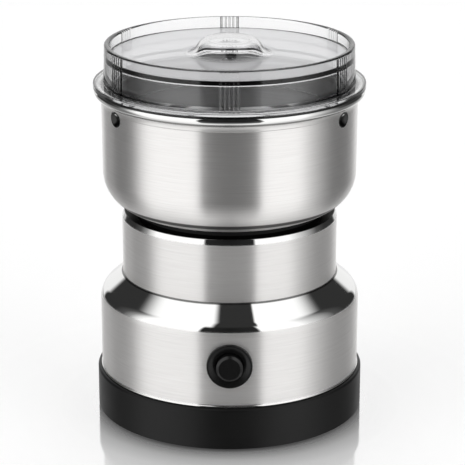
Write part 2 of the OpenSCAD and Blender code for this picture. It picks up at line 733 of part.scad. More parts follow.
module stator_core() color("#6f7173") translate([0, 0, stack_z]) difference() {
    union() {
        ring(stator_r, yoke_in, stack_h);
        around(2, 90) {
            sector(pole_r + shoe_t, pole_r, pole_angle, stack_h);
            translate([pole_r + shoe_t / 2, -pole_w / 2, 0])
                cube([yoke_in + yoke_w / 2 - pole_r - shoe_t / 2, pole_w, stack_h]);
        }
    }
    around(2) translate([screw_ring_r, 0, -cut]) cylinder(r = motor_screw_r, h = stack_h + 2 * cut);
}

// Each field coil is wound round a pole's neck, with end turns above and below the stack
module field_coils() color("#b06a3a") around(2, 90) difference() {
    translate([0, 0, stack_z - end_turn_h]) sector(coil_out, coil_in, coil_angle, stack_h + 2 * end_turn_h);
    translate([0, -pole_w / 2 - fit_gap, stack_z - fit_gap])
        cube([stator_r, pole_w + 2 * fit_gap, stack_h + 2 * fit_gap]);
}

module brush_holders() color("#b8963e") around(2, 90) translate([holder_start, 0, holder_z]) difference() {
    slot_w = brush_w + press_gap;
    slot_h = brush_h + press_gap;
    translate([0, -brush_w / 2 - holder_t, 0])
        cube([holder_l, brush_w + 2 * holder_t, brush_h + 2 * holder_t]);
    translate([-cut, -slot_w / 2, holder_t - press_gap / 2])
        cube([holder_l - holder_t + cut, slot_w, slot_h]);
}

module carbon_brushes() color("#2b2b2d") around(2, 90) difference() {
    translate([0, -brush_w / 2, brush_z - brush_h / 2]) cube([brush_face + brush_l, brush_w, brush_h]);
    translate([0, 0, brush_z - brush_h]) cylinder(r = brush_face, h = 2 * brush_h);
}

module brush_springs() color("#a7a9ac") around(2, 90) translate([brush_face + brush_l, 0, brush_z])
    rotate([0, 90, 0]) coil_spring(brush_w / 2 - 2 * brush_wire, brush_wire,
        holder_start + holder_l - holder_t - brush_face - brush_l, turns = 4);

module switch_bezel() color("#161617") difference() {
    union() {
        difference() {
            facing_back(bezel_face, button_z) cylinder(r = bezel_r, h = bezel_proud + cap_bevel + cut);
            cylinder(r = housing_r, h = 2 * button_z);
        }
        facing_back(-housing_r, button_z) cylinder(r = barrel_r, h = barrel_back + housing_r);
    }
    facing_back(bezel_face - cut, button_z)
        cylinder(r = cap_r + fit_gap, h = barrel_back - bezel_face + 2 * cut);
    facing_back(bezel_face, button_z)
        cylinder(r1 = bezel_r - bezel_lip, r2 = cap_r + fit_gap, h = dish_depth);
}

module switch_nut() color("#2a2a2c") facing_back(nut_face, button_z) difference() {
    cylinder(r = switch_nut_r, h = switch_nut_t, $fn = 6);
    translate([0, 0, -cut]) cylinder(r = barrel_r, h = switch_nut_t + 2 * cut);
}

module switch_body() color("#222223") difference() {
    translate([-switch_w / 2, barrel_back, button_z - switch_w / 2]) cube([switch_w, switch_d, switch_w]);
    facing_back(barrel_back - cut, button_z) cylinder(r = stem_r + move_gap, h = stem_room + cut);
    facing_back(barrel_back - cut, button_z)
        cylinder(r = spring_r + spring_wire + move_gap, h = spring_seat + cut);
}

module switch_terminals() color("#c2a45a") for (side = [-1, 1])
    translate([side * switch_w / 4 - terminal_w / 2, switch_back, button_z - terminal_l])
        cube([terminal_w, terminal_t, terminal_l]);

// The cap closes the bezel's bore, and its stem works the switch
module button_cap() color("#1a1a1b") facing_back(cap_face, button_z) {
    cylinder(r1 = cap_r - cap_bevel, r2 = cap_r, h = cap_bevel);
    translate([0, 0, cap_bevel]) cylinder(r = cap_r, h = cap_back - cap_face - cap_bevel);
    cylinder(r = stem_r, h = barrel_back - cap_face);
}

module button_spring() color("#a7a9ac") facing_back(cap_back, button_z)
    coil_spring(spring_r, spring_wire, barrel_back + spring_seat - cap_back, turns = 3);

module rotor_shaft() color("#b3b5b8") {
    translate([0, 0, shaft_z]) cylinder(r = shaft_r, h = blade_z - shaft_z);
    translate([0, 0, blade_z]) cylinder(r = thread_r, h = nut_z + nut_h - 2 * end_gap - blade_z);
}

module armature_core() color("#77797b") translate([0, 0, stack_z]) difference() {
    cylinder(r = armature_r, h = stack_h);
    translate([0, 0, -cut]) {
        cylinder(r = shaft_r, h = stack_h + 2 * cut);
        around(slot_count) {
            translate([slot_ring_r, 0, 0]) cylinder(r = slot_r, h = stack_h + 2 * cut, $fn = 24);
            translate([slot_ring_r, -slot_mouth / 2, 0]) cube([armature_r, slot_mouth, stack_h + 2 * cut]);
        }
    }
}

module armature_windings() color("#b06a3a") {
    around(slot_count) translate([slot_ring_r, 0, stack_z - end_turn_h / 2])
        cylinder(r = slot_r - press_gap, h = stack_h + end_turn_h, $fn = 24);
    translate([0, 0, stack_top]) end_turns();
    translate([0, 0, stack_z]) mirror([0, 0, 1]) end_turns();
}

// The wires cross over the core's end as a low round bundle
module end_turns() {
    bundle_in = shaft_r + winding_in;
    rotate_extrude() polygon(concat(
        [[bundle_in, 0], [armature_r - slot_lip, 0]],
        arc([armature_r - slot_lip - end_turn_h / 2, end_turn_h / 2], end_turn_h / 2, 0, 90),
        [[bundle_in, end_turn_h]]));
}

module commutator() color("#b5703c") difference() {
    translate([0, 0, commutator_z]) cylinder(r = commutator_r, h = commutator_l);
    translate([0, 0, commutator_z - cut]) {
        cylinder(r = shaft_r, h = commutator_l + 2 * cut);
        around(slot_count) translate([commutator_r - bar_cut, -bar_cut / 4, 0])
            cube([2 * bar_cut, bar_cut / 2, commutator_l + 2 * cut]);
    }
}

module cooling_fan() color("#4c4e50") translate([0, 0, fan_z]) difference() {
    union() {
        cylinder(r = fan_r, h = fan_t);
        cylinder(r = shaft_r + fan_hub, h = fan_h);
        around(fan_blades) translate([shaft_r + fan_hub / 2, -fan_t / 2, 0])
            cube([fan_r - shaft_r - fan_hub / 2 - fan_t / 2, fan_t, fan_h]);
    }
    translate([0, 0, -cut]) cylinder(r = shaft_r, h = fan_h + 2 * cut);
}

module blade_spacer() color("#a9abad") translate([0, 0, spacer_z])
    ring(washer_r, shaft_r, blade_z - spacer_z);

// The lower stamping has two short wings bent down, the upper one two long wings bent up
module blade_lower() color("#bfc1c3") translate([0, 0, blade_z]) rotate(90)
    stamping(short_blade_r, -blade_fall);

module blade_upper() color("#c4c6c8") translate([0, 0, blade_z + blade_t]) stamping(blade_r, blade_rise);

// A blade pair: its bent side view crossed with its plan, and an edge ground on each leading side
module stamping(reach, rise) {
    lift = (reach - hub_r) * tan(rise);
    difference() {
        intersection() {
            rotate([90, 0, 0]) linear_extrude(2 * reach, center = true) polygon([
                [-reach, lift], [-hub_r, 0], [hub_r, 0], [reach, lift],
                [reach, lift + blade_t], [hub_r, blade_t], [-hub_r, blade_t], [-reach, lift + blade_t]]);
            translate([0, 0, -reach]) linear_extrude(2 * reach) union() {
                circle(r = hub_r);
                around(2) wing_plan(reach);
            }
        }
        translate([0, 0, -cut]) cylinder(r = thread_r, h = blade_t + 2 * cut);
        around(2) translate([hub_r, 0, 0]) rotate([0, -rise, 0]) grind(reach);
    }
}

// A wing seen from above, narrowing to a slanted tip
module wing_plan(reach) polygon([[0, -blade_w / 2], [reach - blade_w * 0.7, -blade_w / 2],
    [reach, blade_w * 0.1], [reach - blade_w * 0.2, blade_w / 2], [0, blade_w / 2]]);

// What the grinding wheel takes off a wing's leading side
module grind(reach) translate([grind_from, 0, 0]) rotate([90, 0, 90]) linear_extrude(reach) polygon([
    [-blade_w, edge_land], [-blade_w / 2, edge_land], [-blade_w / 2 + grind_w, blade_t],
    [-blade_w / 2 + grind_w, blade_t + cut], [-blade_w, blade_t + cut]]);

module blade_washer() color("#b5b7ba") translate([0, 0, washer_z]) ring(washer_r, thread_r, washer_t);

// A cap nut: a hexagon with a low dome
module blade_nut() color("#bcbec1") translate([0, 0, nut_z]) difference() {
    union() {
        cylinder(d = nut_af / cos(30), h = nut_h, $fn = 6);
        translate([0, 0, nut_h - nut_dome / 2]) intersection() {
            sphere(r = nut_dome, $fn = 32);
            cylinder(r = nut_af, h = nut_af);
        }
    }
    translate([0, 0, -cut]) cylinder(r = thread_r, h = nut_h - 2 * end_gap + cut);
}

module lid_seal() color("#d9dadb") translate([0, 0, flange_z - seal_h])
    ring(bowl_mouth_r, skirt_r + press_gap, seal_h - press_gap);

// The dome's outline from the lid's flat top up to the axis, set in by t
function dome_outline(t) = concat(
    arc(foot_c, dome_foot + t, 270, 270 - dome_slope),
    arc(bend_c, dome_bend - t, 90 - dome_slope, 90 - crown_slope),
    arc([0, crown_z], crown_r - t, 90 - crown_slope, 90));

// The lid's section, from the wall's foot over the rim, the top and its underside to the flange
function lid_outline() = let (round_r = 0.25 * lid_t, floor_r = recess_r - fit_gap) concat(
    [[lid_r, flange_top]],
    arc([lid_edge_r - round_r, lid_top - round_r], round_r, 0, 90),
    arc([recess_r + round_r, lid_top - round_r], round_r, 90, 180),
    [[recess_r, top_z]], dome_outline(0),
    reversed(dome_outline(top_t)), [[floor_r, top_z - top_t]],
    [[floor_r, flange_top + cut], [skirt_r - skirt_t, flange_z + flange_t / 2],
        [skirt_r - skirt_t, skirt_z], [skirt_r, skirt_z], [skirt_r, flange_z],
        [flange_r - fit_gap, flange_z], [flange_r, flange_z + fit_gap], [flange_r, flange_top - fit_gap],
        [flange_r - fit_gap, flange_top]]);

module lid() color("#dfe2e8", 0.35) {
    rotate_extrude() polygon(lid_outline());
    around(grip_count, -90) grip();
    around(dimple_count, 90) lug();
}

// A grip is a low pad on the lid's wall with upright flutes on it
module grip() {
    foot = lid_r - lid_t / 2;
    pad = lid_r + grip_proud;
    half = grip_angle / 2;
    flutes = [for (i = [0 : flute_count - 1]) let (a = (i + 0.5) * grip_angle / flute_count - half)
        each [polar(pad, a - flute_angle / 2), polar(pad + flute_proud, a - flute_angle / 2),
            polar(pad + flute_proud, a + flute_angle / 2), polar(pad, a + flute_angle / 2)]];
    translate([0, 0, flange_top - flange_t / 2]) linear_extrude(lid_h + flange_t / 2 - grip_drop)
        polygon(concat([polar(foot, -half), polar(pad, -half)], flutes,
            [polar(pad, half), polar(foot, half)]));
}

// A lug slides under a dimple as the lid turns, and the stop on its end halts the turn
module lug() {
    lug_bar(lug_start, lug_end, lug_z, lug_top, bowl_mouth_r);
    lug_bar(lug_stop, lug_end - lug_tail / 8, lug_z + lug_t / 2, dimple_z, bowl_mouth_r - press_gap);
}

// A stretch of the lug, rooted halfway into the skirt's wall
module lug_bar(from, to, low, high, reach) {
    root = skirt_r - skirt_t / 2;
    rotate(from) rotate_extrude(angle = to - from)
        translate([root, low]) square([reach - root, high - low]);
}

bowl();
bowl_gasket();
bowl_bushing();
bushing_nut();
shaft_seal();
motor_housing();
base_ring();
bottom_cover();
rubber_feet();
cover_screws();
cord_gland();
switch_bezel();
switch_nut();
switch_body();
switch_terminals();
button_cap();
button_spring();
motor_bracket_top();
motor_bracket_bottom();
motor_screws();
bearing_top();
bearing_bottom();
stator_core();
field_coils();
brush_holders();
carbon_brushes();
brush_springs();
rotor_shaft();
armature_core();
armature_windings();
commutator();
cooling_fan();
blade_spacer();
blade_lower();
blade_upper();
blade_washer();
blade_nut();
lid_seal();
lid();
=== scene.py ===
"""An electric spice grinder: brushed and polished steel, a clear bayonet lid and black mouldings.

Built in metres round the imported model, with the front towards -Y and the motor shaft on the Z axis.
"""
import math

import bmesh
import bpy
import numpy as np
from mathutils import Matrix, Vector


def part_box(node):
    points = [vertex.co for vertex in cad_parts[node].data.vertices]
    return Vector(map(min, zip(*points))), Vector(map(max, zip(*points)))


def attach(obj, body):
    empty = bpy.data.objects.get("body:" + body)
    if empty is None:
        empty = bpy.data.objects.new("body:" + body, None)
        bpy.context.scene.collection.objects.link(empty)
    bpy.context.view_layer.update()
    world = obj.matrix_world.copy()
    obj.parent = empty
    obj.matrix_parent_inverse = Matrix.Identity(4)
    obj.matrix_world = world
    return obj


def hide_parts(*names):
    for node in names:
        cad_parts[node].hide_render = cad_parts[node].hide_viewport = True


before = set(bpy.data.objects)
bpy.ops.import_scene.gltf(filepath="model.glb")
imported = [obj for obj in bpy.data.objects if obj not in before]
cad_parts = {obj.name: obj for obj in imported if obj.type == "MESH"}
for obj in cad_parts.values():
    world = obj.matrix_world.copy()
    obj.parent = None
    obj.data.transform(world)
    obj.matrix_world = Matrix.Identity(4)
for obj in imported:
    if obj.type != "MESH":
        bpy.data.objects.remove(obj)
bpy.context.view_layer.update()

mm = 0.001

# ---- Camera --------------------------------------------------------------------------------------
# A long lens a little above the lid, looking down at the front of the grinder.
# The shift only moves the grinder's axis slightly off the middle of the picture.
camera = bpy.data.objects.new("camera", bpy.data.cameras.new("camera"))
camera.location = (0, -756.08 * mm, 315.92 * mm)
camera.rotation_euler = (math.radians(90 - 18.02), 0, 0)
camera.data.sensor_width = 36
camera.data.lens = 157.935
camera.data.shift_x = 0.00637
camera.data.clip_start = 0.01
camera.data.clip_end = 50
bpy.context.scene.collection.objects.link(camera)
bpy.context.scene.camera = camera
bpy.context.scene.view_settings.view_transform = "Standard"


# ---- Studio light --------------------------------------------------------------------------------
# Two tall softboxes stand left and right of the camera and reach overhead, with a dark gap between
# them. A white backdrop stands behind the grinder, with the dark room at its sides.
def add(tree, kind, inputs=None, **settings):
    """Adds a shader node, sets its settings, and links or fills its inputs."""
    made = tree.nodes.new("ShaderNode" + kind)
    for name, value in settings.items():
        setattr(made, name, value)
    for socket, value in (inputs or {}).items():
        if isinstance(value, bpy.types.NodeSocket):
            tree.links.new(value, made.inputs[socket])
        else:
            made.inputs[socket].default_value = value
    return made


def calc(tree, operation, *values):
    """One Math node: operation on one to three values or sockets."""
    return add(tree, "Math", dict(enumerate(values)), operation=operation).outputs[0]


def ramp(tree, factor, stops):
    """A grey ColorRamp with straight runs: stops are (place, grey) pairs."""
    made = add(tree, "ValToRGB", {0: factor})
    elements = made.color_ramp.elements
    while len(elements) < len(stops):
        elements.new(0.5)
    for element, (place, grey) in zip(elements, stops):
        element.position = place
        element.color = (grey, grey, grey, 1)
    return made.outputs[0]


def linear(tree, value, start, end, low=0, high=1, kind="LINEAR"):
    """A Map Range node: low at start, high at end, and held outside the two."""
    inputs = {0: value, 1: start, 2: end, 3: low, 4: high}
    return add(tree, "MapRange", inputs, interpolation_type=kind).outputs[0]


def softly(tree, value, start, end):
    """A smooth step from 0 at start to 1 at end."""
    return linear(tree, value, start, end, kind="SMOOTHSTEP")


def blend(tree, share, first, second, mode="MIX"):
    """A Mix node on two colours: the first at share 0, and the second or its product at share 1."""
    return add(tree, "Mix", {0: share, 6: first, 7: second}, data_type="RGBA", blend_type=mode).outputs[2]


def turn_stops(pairs):
    """Places round the horizon, in degrees from the front towards the right, as ramp stops."""
    return [((degrees + 180) / 360, grey) for degrees, grey in pairs]


world = bpy.data.worlds.new("studio")
bpy.context.scene.world = world
world.use_nodes = True
studio = world.node_tree
studio.nodes.clear()
direction = add(studio, "SeparateXYZ", {0: add(studio, "TexCoord").outputs["Generated"]}).outputs
height = direction["Z"]
front = calc(studio, "MULTIPLY", direction["Y"], -1)
turn = calc(studio, "ARCTAN2", direction["X"], front)
around = calc(studio, "MULTIPLY_ADD", turn, 0.5 / math.pi, 0.5)


def sideways(start, end):
    """A smooth step round the horizon, from 0 at start to 1 at end, in degrees from the front."""
    return softly(studio, turn, math.radians(start), math.radians(end))


# The softboxes' lower ends, just under the horizon, which the upright walls mirror. A dark gap
# lies between them, and behind them are a dim side wall and the backdrop
front_gap = calc(studio, "MULTIPLY", sideways(-40, -10), sideways(42, 10))
left_end = calc(studio, "MULTIPLY", sideways(-99, -76), sideways(-25, -28))
right_fade = linear(studio, turn, math.radians(110), math.radians(66))
right_end = calc(studio, "MULTIPLY", calc(studio, "POWER", right_fade, 2), sideways(27, 30))
side_wall = sideways(-123, -133)
backdrop = calc(studio, "MAXIMUM", sideways(-148, -161), sideways(127, 166))
level_light = (0.18, 0.18, 0.18, 1)
for share, grey in [(front_gap, 0.05), (left_end, 1.05), (right_end, 1.05), (side_wall, 0.38),
                    (backdrop, 0.83)]:
    level_light = blend(studio, share, level_light, (grey, grey, grey, 1))
# The softboxes, the dark room and the backdrop, which the shoulder and the rims mirror
room_light = ramp(studio, around, turn_stops([
    (-180, 0.95), (-148, 0.90), (-144, 0.03), (-118, 0.03), (-106, 0.08), (-97, 0.30), (-90, 0.75),
    (-83, 1.1), (-28, 1.1), (-26, 0.02), (0, 0.012), (26, 0.02), (28, 1.1), (66, 1.1), (76, 0.75),
    (90, 0.40), (104, 0.08), (118, 0.03), (144, 0.03), (148, 0.90), (180, 0.95)]))
# The lit table, far under the horizon
table_light = ramp(studio, around, turn_stops([
    (-180, 0.5), (-90, 0.7), (-40, 0.95), (-20, 0.7), (0, 0.6), (20, 0.7), (40, 0.95), (90, 0.7),
    (180, 0.5)]))
# The softboxes' tops. The dark gap between them widens towards the front
left_edge = calc(studio, "MULTIPLY_ADD", front, 0.243, calc(studio, "MULTIPLY", height, 0.066))
right_edge = calc(studio, "MULTIPLY_ADD", front, 0.362, calc(studio, "MULTIPLY", height, 0.169))
leftwards = calc(studio, "MULTIPLY", direction["X"], -1)
left_box = softly(studio, calc(studio, "SUBTRACT", leftwards, left_edge), -0.03, 0.05)
right_box = softly(studio, calc(studio, "SUBTRACT", direction["X"], right_edge), -0.01, 0.02)
either_box = calc(studio, "MAXIMUM", left_box, right_box)
overhead_light = calc(studio, "MULTIPLY_ADD", either_box, 1.07, 0.03)


def above(start, end):
    """A smooth step with the elevation of a direction, from 0 at start to 1 at end, in degrees."""
    return softly(studio, height, math.sin(math.radians(start)), math.sin(math.radians(end)))


level_and_room = blend(studio, above(-9, -4), level_light, room_light)
with_table = blend(studio, above(-34, -50), level_and_room, table_light)
pattern = blend(studio, above(41, 55), with_table, overhead_light)
# The camera sees plain white, also straight through the lid where it looks to the back
rays = add(studio, "LightPath").outputs
unmirrored = calc(studio, "LESS_THAN", rays["Glossy Depth"], 0.5)
seen_through = calc(studio, "MULTIPLY", rays["Is Transmission Ray"], unmirrored)
behind = softly(studio, direction["Y"], 0.5, 0.8)
plain = calc(studio, "MAXIMUM", rays["Is Camera Ray"], calc(studio, "MULTIPLY", seen_through, behind))
shown = blend(studio, plain, pattern, (1, 1, 1, 1))
# Rays that have been mirrored twice see a dimmer studio
mirrored_twice = calc(studio, "GREATER_THAN", rays["Glossy Depth"], 1.5)
strength = calc(studio, "MULTIPLY_ADD", mirrored_twice, -0.75, 1)
background = add(studio, "Background", {"Color": shown, "Strength": strength})
add(studio, "OutputWorld", {"Surface": background.outputs[0]})


# ---- Floor ---------------------------------------------------------------------------------------
# A plain white glossy table that mirrors the foot of the grinder and takes its soft shadow. Steel
# mirrors the table's light from the studio's pattern, so the table itself is hidden from reflections.
def mesh_object(name, points, faces):
    """A mesh object at the origin from an array of points and an array of faces."""
    mesh = bpy.data.meshes.new(name)
    mesh.from_pydata(points.tolist(), [], faces.tolist())
    mesh.update()
    made = bpy.data.objects.new(name, mesh)
    bpy.context.scene.collection.objects.link(made)
    return made


def material(name):
    """An empty node material and its tree."""
    made = bpy.data.materials.new(name)
    made.use_nodes = True
    made.node_tree.nodes.clear()
    return made, made.node_tree


floor_half = 4.0
floor_points = np.array([[-1, -1, 0], [1, -1, 0], [1, 1, 0], [-1, 1, 0]]) * floor_half
floor = mesh_object("floor", floor_points, np.array([[0, 1, 2, 3]]))
floor.visible_glossy = False
table_white, table = material("table_white")
matt = add(table, "BsdfDiffuse", {"Color": (0.86, 0.86, 0.86, 1)})
table_rays = add(table, "LightPath").outputs
table_unmirrored = calc(table, "LESS_THAN", table_rays["Glossy Depth"], 0.5)
through_lid = calc(table, "MULTIPLY", table_rays["Is Transmission Ray"], table_unmirrored)
in_view = calc(table, "MAXIMUM", table_rays["Is Camera Ray"], through_lid)
glow = add(table, "Emission", {"Strength": calc(table, "MULTIPLY", in_view, 0.42)})
lit = add(table, "AddShader", {0: matt.outputs[0], 1: glow.outputs[0]})
sheen = add(table, "BsdfGlossy", {"Color": (1, 1, 1, 1), "Roughness": 0.08})
table_place = add(table, "TexCoord").outputs["Object"]
from_axis = add(table, "VectorMath", {0: table_place}, operation="LENGTH").outputs["Value"]
# The mirrored share is painted: it rises towards the grinder's foot, so the real reflection of the black
# base lays a painted shade round the foot
mirror_share = ramp(table, linear(table, from_axis, 50 * mm, 110 * mm), [
    (0, 0.88), (0.06, 0.74), (0.16, 0.54), (0.3, 0.40), (0.6, 0.28), (1, 0.2)])
upper_side = add(table, "MixShader", {0: mirror_share, 1: lit.outputs[0], 2: sheen.outputs[0]})
from_below = add(table, "NewGeometry").outputs["Backfacing"]
see_through = add(table, "BsdfTransparent")
seen_table = add(table, "MixShader", {0: from_below, 1: upper_side.outputs[0], 2: see_through.outputs[0]})
add(table, "OutputMaterial", {"Surface": seen_table.outputs[0]})
floor.data.materials.append(table_white)


# ---- Motor housing -------------------------------------------------------------------------------
# One deep-drawn sheet of stainless steel: a brushed wall, a mirror-polished shoulder, a brushed
# neck with a polished upper edge, and a fine rolled edge that stands on the black base.
def polar(radius, degrees):
    """Points on a circle about the origin, as (x, y) rows."""
    turned = np.radians(degrees)
    return np.stack([radius * np.cos(turned), radius * np.sin(turned)], -1)


def arc(centre, radius, start, end, steps):
    """Points of an arc about centre: centre + radius (cos a, sin a) for a from start to end."""
    return np.asarray(centre) + polar(radius, np.linspace(start, end, steps + 1))


def rounded(corners, radii, steps=10, longest=3 * mm):
    """A path through corners in which each corner is an arc tangent to both its sides.

    At a corner that turns by t, an arc of radius r starts r tan(t/2) before it. Straight stretches
    are cut up so that none is longer than `longest`, with a close point next to each arc.
    """
    corners = np.asarray(corners, float)
    pieces = [corners[:1]]
    for before, here, after, radius in zip(corners, corners[1:], corners[2:], radii):
        into = (here - before) / np.linalg.norm(here - before)
        out = (after - here) / np.linalg.norm(after - here)
        turning = math.atan2(into[0] * out[1] - into[1] * out[0], into @ out)
        start = here - into * radius * math.tan(abs(turning) / 2)
        side = np.array([-into[1], into[0]]) * math.copysign(1, turning)
        centre = start + side * radius
        swing = np.linspace(0, turning, steps + 1)[:, None]
        away = start - centre
        curve = centre + away * np.cos(swing) + np.array([-away[1], away[0]]) * np.sin(swing)
        near = min(0.06 * mm, radius / 4)
        pieces += [start[None] - into * near, curve, curve[-1:] + out * near]
    path = np.concatenate(pieces + [corners[-1:]])
    return cut_up(path, longest)


def cut_up(path, longest):
    """The same path with extra points on every stretch longer than `longest`."""
    lengths = np.linalg.norm(np.diff(path, axis=0), axis=1)
    parts = np.maximum(1, np.ceil(lengths / longest)).astype(int)
    stretches = [np.linspace(a, b, n, endpoint=False) for a, b, n in zip(path, path[1:], parts)]
    return np.concatenate(stretches + [path[-1:]])


def grid_faces(rows, columns, wrap_rows):
    """Quads of a grid whose columns close round the axis, and whose rows close if wrap_rows."""
    row = np.arange(rows if wrap_rows else rows - 1)[:, None]
    column = np.arange(columns)[None]
    after, above = (column + 1) % columns, (row + 1) % rows
    quad = [row * columns + column, row * columns + after, above * columns + after, above * columns + column]
    return np.stack(np.broadcast_arrays(*quad), -1).reshape(-1, 4)


def revolve(radius, height, turns):
    """Points (radius cos a, radius sin a, height) for a profile's rows and the angles a in degrees."""
    a = np.radians(turns)[None]
    grid = np.broadcast_arrays(radius * np.cos(a), radius * np.sin(a), height)
    return np.stack(grid, -1)


def smooth(piece):
    """Smooth shading over the whole piece, with coincident points merged."""
    shape = bmesh.new()
    shape.from_mesh(piece.data)
    bmesh.ops.remove_doubles(shape, verts=shape.verts, dist=1e-7)
    shape.to_mesh(piece.data)
    shape.free()
    piece.data.shade_smooth()


def grain_group():
    """Fine lines of a brushed finish round the Z axis.

    Noise that is stretched along X and Y and packed along Z gives level lines; a second, coarser
    noise makes them come and go. Puts out a shade near 1 and a height for a bump.
    """
    made = bpy.data.node_groups.new("brush_lines", "ShaderNodeTree")
    made.interface.new_socket(name="Shade", in_out="OUTPUT", socket_type="NodeSocketFloat")
    made.interface.new_socket(name="Height", in_out="OUTPUT", socket_type="NodeSocketFloat")
    place = add(made, "TexCoord").outputs["Object"]
    fine_place = add(made, "Mapping", {"Vector": place, "Scale": (60, 60, 3600)}).outputs[0]
    wide_place = add(made, "Mapping", {"Vector": place, "Scale": (70, 70, 1500)}).outputs[0]
    fine = add(made, "TexNoise", {"Vector": fine_place, "Scale": 1, "Detail": 3}).outputs["Fac"]
    wide = add(made, "TexNoise", {"Vector": wide_place, "Scale": 1, "Detail": 4}).outputs["Fac"]
    both = calc(made, "ADD", calc(made, "MULTIPLY", fine, 0.6), calc(made, "MULTIPLY", wide, 0.4))
    shade = calc(made, "MULTIPLY_ADD", calc(made, "SUBTRACT", both, 0.5), 0.3, 1)
    leaving = made.nodes.new("NodeGroupOutput")
    made.links.new(shade, leaving.inputs["Shade"])
    made.links.new(both, leaving.inputs["Height"])
    return made


def by_height(tree, height, stops):
    """A value that follows the height: stops are (height, value) pairs, with straight runs between."""
    low, high = stops[0][0], stops[-1][0]
    place = linear(tree, height, low, high)
    return ramp(tree, place, [((z - low) / (high - low), value) for z, value in stops])


def stored(tree, name):
    """A value that a mesh holds for each of its points, or 0 where it holds none."""
    return add(tree, "Attribute", attribute_name=name).outputs["Fac"]


def steel(name, polished, painted_shade, satin):
    """Stainless steel that is brushed round the Z axis, and mirror-polished where polished says.

    polished holds (height, share) stops: share 0 is brushed and 1 is polished. Where a mesh has a
    "polish" value, that share counts too. shades holds (height, factor) stops of painted shade that
    darken the colour, and a "dark" value paints shade into it too. satin is the matt share of the
    brushed stretches, but not of those that a mesh marks as "inside", whose colour is painted a little
    darker as shade.
    """
    brushed_rough, inside_extra, polished_rough, darkening = 0.33, 0.02, 0.05, 0.95
    brushed_colour, polished_colour = (0.97, 0.955, 0.94, 1), (0.93, 0.93, 0.92, 1)
    # The steel on the bowl's inside is painted a little darker than outside, as painted shade
    inside_shade_colour = (0.90, 0.90, 0.90, 1)
    made, tree = material(name)
    height = add(tree, "SeparateXYZ", {0: add(tree, "TexCoord").outputs["Object"]}).outputs["Z"]
    lines = tree.nodes.new("ShaderNodeGroup")
    lines.node_tree = brush_lines
    share = calc(tree, "MAXIMUM", by_height(tree, height, polished), stored(tree, "polish"))
    unpolished = calc(tree, "SUBTRACT", 1, share)
    inside = stored(tree, "inside")
    outside = calc(tree, "SUBTRACT", 1, inside)
    brushed = calc(tree, "MULTIPLY_ADD", inside, inside_extra, brushed_rough)
    sheet_rough = linear(tree, share, 0, 1, brushed, polished_rough)
    rough = calc(tree, "MULTIPLY", sheet_rough, lines.outputs["Shade"])
    sheet_colour = blend(tree, share, brushed_colour, polished_colour)
    sheet_colour = blend(tree, inside, sheet_colour, inside_shade_colour)
    lined = blend(tree, unpolished, sheet_colour, lines.outputs["Shade"], "MULTIPLY")
    # Painted shade: the stored dark value and the shades stops darken the colour
    undarkened = calc(tree, "MULTIPLY_ADD", stored(tree, "painted_shade_mask"), -darkening, 1)
    lightness = calc(tree, "MULTIPLY", by_height(tree, height, painted_shade), undarkened)
    shaded = blend(tree, 1, lined, lightness, "MULTIPLY")
    matt_share = calc(tree, "MULTIPLY", calc(tree, "MULTIPLY", unpolished, outside), satin)
    bump = add(tree, "Bump", {"Strength": 0.06, "Distance": 0.02 * mm, "Height": lines.outputs["Height"]})
    round_axis = add(tree, "Tangent", direction_type="RADIAL", axis="Z")
    shader = add(tree, "BsdfPrincipled", {
        "Base Color": shaded, "Metallic": calc(tree, "SUBTRACT", 1, matt_share), "Roughness": rough,
        "Anisotropic": 0.96, "Anisotropic Rotation": 0.25, "Normal": bump.outputs[0],
        "Tangent": round_axis.outputs[0]})
    add(tree, "OutputMaterial", {"Surface": shader.outputs[0]})
    return made


brush_lines = grain_group()
collar_h = 2.8 * mm
base_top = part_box("base_ring")[1][2] - collar_h
housing_r, housing_t = 50.4 * mm, 0.7 * mm
seat_depth, bead = 3 * mm, 0.4 * mm
shoulder_slope, shoulder_round = math.tan(math.radians(41)), 6.9 * mm
neck_r, neck_h, neck_ring = 41.6 * mm, 24.6 * mm, 7.1 * mm
edge_w, edge_h = 0.8 * mm, 2.2 * mm
neck_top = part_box("bowl_gasket")[0][2]
neck_foot = neck_top - neck_h
shoulder_z = neck_foot - (housing_r - neck_r) * shoulder_slope
button_z, hole_r = 34.1 * mm, 6.9 * mm

seat = cut_up(np.array([[housing_r, base_top - seat_depth], [housing_r, base_top]]), 1 * mm)
bead_arc = arc((housing_r - 0.1 * mm, base_top + bead), bead, -75, 75, 10)
wall_path = rounded([
    (housing_r, base_top + 2 * bead), (housing_r, shoulder_z), (neck_r, neck_foot),
    (neck_r, neck_top - edge_h), (neck_r - edge_w, neck_top), (neck_r - neck_ring, neck_top)],
    [shoulder_round, 0.35 * mm, 0.5 * mm, 0.3 * mm], steps=20, longest=1.2 * mm)
housing_path = np.concatenate([seat, bead_arc, wall_path])
side_turns = np.arange(0, 360, 1.0)
housing_grid = revolve(housing_path[:, :1], housing_path[:, 1:], side_turns)


